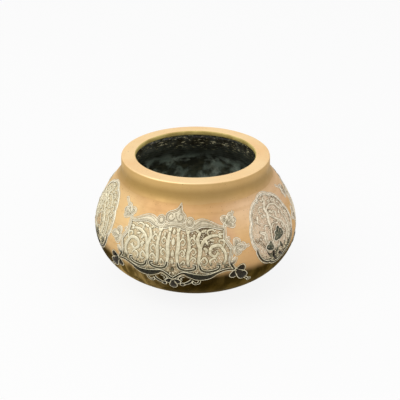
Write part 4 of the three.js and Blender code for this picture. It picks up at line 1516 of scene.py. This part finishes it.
SPRAY_LEAVES = [
    (-1.8, 33.6, 60, 3.6, 1.4, -0.5), (-1.8, 33.6, 130, 3.4, 1.2, 0.5), (1.4, 17.2, -10, 2.6, 1.0, 0.3),
    (2.2, 23.6, 110, 3.0, 1.1, -0.5), (-7.8, 27.2, -60, 3.4, 1.2, 0.4), (-10.6, 16.4, -100, 2.8, 1.1, 0.3),
    (13.2, 22.6, -80, 3.4, 1.2, -0.3), (10.4, 2.4, 200, 3.0, 1.1, 0.3), (9.6, -3.4, 20, 3.2, 1.0, 0.5),
    (-10.2, 0.4, 120, 2.6, 1.0, -0.3), (-12.8, 27.4, -120, 4.2, 1.2, 0.2), (15.8, 27.0, 130, 3.0, 1.0, 0.3),
    (-5.4, -4.2, 150, 3.6, 1.1, -0.3), (7.6, 16.8, -190, 3.0, 1.1, -0.4), (-0.6, 27.4, -50, 3.2, 1.1, 0.3),
    (17.8, 17.4, 80, 3.0, 1.1, 0.2), (-8.4, 23.2, 100, 2.8, 1.0, 0.4), (8.4, 21.4, 20, 3.4, 1.1, 0.5),
    (-15.6, 24.4, -70, 2.8, 0.9, 0.2), (6.2, 31.6, 150, 3.2, 1.1, 0.2),
]
BUDS = {
    "bud_upper": (1.4, 9.4, 2.9, [(200, 5.4, 24), (84, 5.6, 26), (-8, 5.2, 24), (142, 4.5, 20), (32, 4.6, 20)]),
    "bud_lower": (-8.9, 4.6, 2.2, [(170, 3.4, 34), (-35, 3.8, 30), (75, 3.4, 26)]),
}
BLADES = {
    "leaf_left": ([(-9.6, 5.6), (-11.4, 10.2), (-11.4, 13.8), (-15.8, 16.6)], 3.2),
    "leaf_right": ([(14.6, 19), (16.4, 13), (16, 6.4), (13.2, 0.4)], 2.6),
}
print("branches, sprigs and leaves of the spray:", len(SPRAY), len(SPRIGS), len(SPRAY_LEAVES))

# %% [markdown]
# ## The dark buds
# The buds' petals have run together, so a posy would be too crisp. Instead the outline's reach from
# the middle is a small circle with a soft hump for each lobe. On the left medallion the buds have
# lost their silver, and the brass shows.

# %% Draw the buds
LOBED_CORNERS = 54


def lobed(x, v, small, lobes):
    """The outline of a bud from its middle, with lobes as rows of heading, length and spread."""
    turn = np.linspace(-180, 180, LOBED_CORNERS, endpoint=False)
    reach = np.full(LOBED_CORNERS, float(small))
    for heading, length, spread in lobes:
        away = (turn - heading + 180) % 360 - 180
        reach += (length - small) * np.exp(-((away / spread) ** 2))
    turn = np.radians(turn)
    return np.column_stack([x + reach * np.cos(turn), v + reach * np.sin(turn)])


def bud(x, v, small, lobes):
    drawing, middle = Drawing(), np.array([x, v])
    flower(drawing, lobed(x, v, small, lobes), middle, lift=0.1)
    for heading, length, _ in lobes:
        vein(drawing, [middle + pointing(heading) * length * share for share in (0.3, 0.5, 0.75)], 0.2, 0.44)
    return drawing


buds = {name: bud(*numbers) for name, numbers in BUDS.items()}
print("points in the buds:", {name: drawing.count for name, drawing in buds.items()})

# %% [markdown]
# ## Laying the medallions
# The ring, the spray, the dark stems, two buds and two broad blades go on as pieces of their own. One
# piece for all of it would be simpler, but each has its own seat or its own colour on the bowl.

# %% Draw and lay the medallions
def spray():
    drawing = Drawing()
    for points, width in SPRAY:
        strip(drawing, stem(points, width, blunt=STEM_BLUNT), with_thread=False)
    for points, width in SPRIGS:
        strip(drawing, stem(points, width, step=CURL_STEP), with_thread=False)
    for numbers in SPRAY_LEAVES:
        strip(drawing, leaf(*numbers), with_thread=False)
    return drawing


def thin_to_ends(*runs):
    """Strips without a thread that end in fine points, from rows of points and width."""
    drawing = Drawing()
    for points, width in runs:
        strip(drawing, stem(points, width, blunt=SWEEP_BLUNT), with_thread=False)
    return drawing


def lay_medallion(field):
    frame_ring = Drawing()
    strip(frame_ring, borders["medallion"], closed=True)
    frame_ring.lay("border", field, RING_SILVER)
    spray().lay("spray", field)
    thin_to_ends(*DARK_STEMS).lay("bud_stems", field, DARK_SILVER)
    for name, drawing in buds.items():
        drawing.lay(name, field, BARE_BRASS if field["name"] == "medallion_left" else DARK_SILVER)
    for name, (points, width) in BLADES.items():
        blade = thin_to_ends((points, width))
        vein(blade, points)
        blade.lay(name, field)


for field in MEDALLIONS:
    lay_medallion(field)
print("medallions laid:", len(MEDALLIONS))

# %% [markdown]
# ## Where the dots go
# Round the scrolls the ground is covered with tiny raised dots of silver and brass. Scattering them at
# random would let them clump. The punch went along rows, so they are set on a grid with every other
# row moved over, each dot is shaken a little, and one that would fall on metal or outside its field
# is left out.

# %% Find places for the dots
DOT_PITCH, ROW_PITCH, SHAKE, CLEAR_OF_METAL = 1.3, 0.88, 0.28, 0.42
FEET_MARGIN = 1.4


def cartouche_metal():
    """The runs that the dots keep clear of, on both sides."""
    runs = [stem(points, width, blunt=STEM_BLUNT) for points, width in STEMS]
    runs += [stem(points, width + FEET_MARGIN) for points, width in DARK_FEET]
    runs += [stem(points, width, step=CURL_STEP) for points, width in CURLS]
    runs += [leaf(*numbers) for numbers in LEAVES]
    return runs + [run * [-1, 1, 1] for run in runs]


def medallion_metal():
    runs = [stem(points, width, blunt=STEM_BLUNT) for points, width in SPRAY + SPRIGS + DARK_STEMS]
    runs += [leaf(*numbers) for numbers in SPRAY_LEAVES]
    runs += [stem(points, width) for points, width in BLADES.values()]
    runs += [np.array([[x, v, lobes[0][1]]]) for x, v, _, lobes in BUDS.values()]
    return runs


def dot_places(outline, runs, seed):
    """The shaken grid's places inside an outline and clear of the runs."""
    low, high = outline[:, :2].min(axis=0), outline[:, :2].max(axis=0)
    random = np.random.default_rng(seed)
    x, v = np.meshgrid(np.arange(low[0], high[0], DOT_PITCH),
                       np.arange(low[1], high[1], DOT_PITCH * ROW_PITCH))
    x = x + np.where(np.arange(len(x))[:, None] % 2, DOT_PITCH / 2, 0)
    spots = np.column_stack([x.ravel(), v.ravel()]) + random.uniform(-SHAKE, SHAKE, (x.size, 2))
    metal = np.concatenate([*runs, outline])
    away = np.hypot(spots[:, None, 0] - metal[None, :, 0], spots[:, None, 1] - metal[None, :, 1])
    gap = (away - metal[None, :, 2]).min(axis=1)
    return spots[inside(spots, outline[:, :2]) & (gap > CLEAR_OF_METAL)]


metal_of = {"cartouche": cartouche_metal(), "medallion": medallion_metal()}
places = {field["name"]: dot_places(borders[field["kind"]], metal_of[field["kind"]], 40 + number)
          for number, field in enumerate(FIELDS)}
print("dots in each field:", {name: len(spots) for name, spots in places.items()})

# %% [markdown]
# ## The punched ground
# A texture could hint at the dots, but they catch the light one by one, so each is a small dome with
# seven sides. Chance picks its size and whether it is bright like the threads or duller like the
# sheet. All the dots of a field are one piece, because a thousand objects would be slow.

# %% Set the dots
DOT_RADII = [0.26, 0.34, 0.42, 0.56]
DOT_SIDES = 7
DOT_LEVELS = ((1, -0.7), (0.72, -0.18))
DOT_TOP = -0.08
BRIGHT_SHARE = 0.7


def dots(spots, seed):
    random = np.random.default_rng(seed)
    turn = around(DOT_SIDES)
    each = 2 * DOT_SIDES + 1  # A dome has as many points as faces.
    points, faces, finishes = [], [], []
    for number, (x, v) in enumerate(spots):
        radius = random.choice(DOT_RADII)
        for reach, height in DOT_LEVELS:
            points.append(np.column_stack([x + radius * reach * np.cos(turn), v + radius * reach * np.sin(turn),
                                           np.full(DOT_SIDES, height)]))
        points.append([[x, v, DOT_TOP]])
        foot = number * each
        edge, top = foot + DOT_SIDES, foot + 2 * DOT_SIDES
        step = [(i, (i + 1) % DOT_SIDES) for i in range(DOT_SIDES)]
        faces += [[foot + i, foot + j, edge + j, edge + i] for i, j in step]
        faces += [[edge + i, edge + j, top] for i, j in step]
        faces.append([foot + i for i in range(DOT_SIDES)][::-1])
        finishes += [THREAD if random.random() < BRIGHT_SHARE else SHEET] * each
    drawing = Drawing()
    drawing.add(np.concatenate(points), faces, finishes)
    return drawing


for number, field in enumerate(FIELDS):
    dots(places[field["name"]], 60 + number).lay("dots", field)
print("dots set:", sum(len(spots) for spots in places.values()))

# %% [markdown]
# ## The floor
# The photograph has no surroundings, so the bowl stands on a plain pale floor. A shadow catcher would
# need the picture to be put together afterwards. One wide sheet, matt and nearly white, is simpler:
# most of its white is its own for camera, gloss and glass, and the small share that is left to the
# lamps lets the bowl's soft shadow show.

# %% Lay the floor
OWN_LIGHT = 0.88
FLOOR_REACH = 6.0


def white_paper():
    paper = Finish("white paper", roughness=1.0)
    paper.shade("Base Color", (0.9, 0.9, 0.9, 1))
    path = paper.nodes.new("ShaderNodeLightPath")
    seen = paper.larger(path.outputs["Is Camera Ray"], path.outputs["Is Glossy Ray"])
    seen = paper.larger(seen, path.outputs["Is Transmission Ray"])
    glow = paper.add("Emission", {})
    lit = paper.shader.outputs[0]
    surface = paper.add("MixShader", {0: paper.times(seen, OWN_LIGHT), 1: lit, 2: glow})
    paper.feed(paper.nodes["Material Output"].inputs["Surface"], surface)
    return paper.material


def pale_floor():
    mesh = bpy.data.meshes.new("floor")
    corners = [(x * FLOOR_REACH, y * FLOOR_REACH, 0) for x, y in ((-1, -1), (1, -1), (1, 1), (-1, 1))]
    mesh.from_pydata(corners, [], [(0, 1, 2, 3)])
    mesh.materials.append(white_paper())
    floor = bpy.data.objects.new("floor", mesh)
    bpy.context.collection.objects.link(floor)
    return floor


print("the floor is", [round(size, 1) for size in pale_floor().dimensions[:2]], "m")

# %% [markdown]
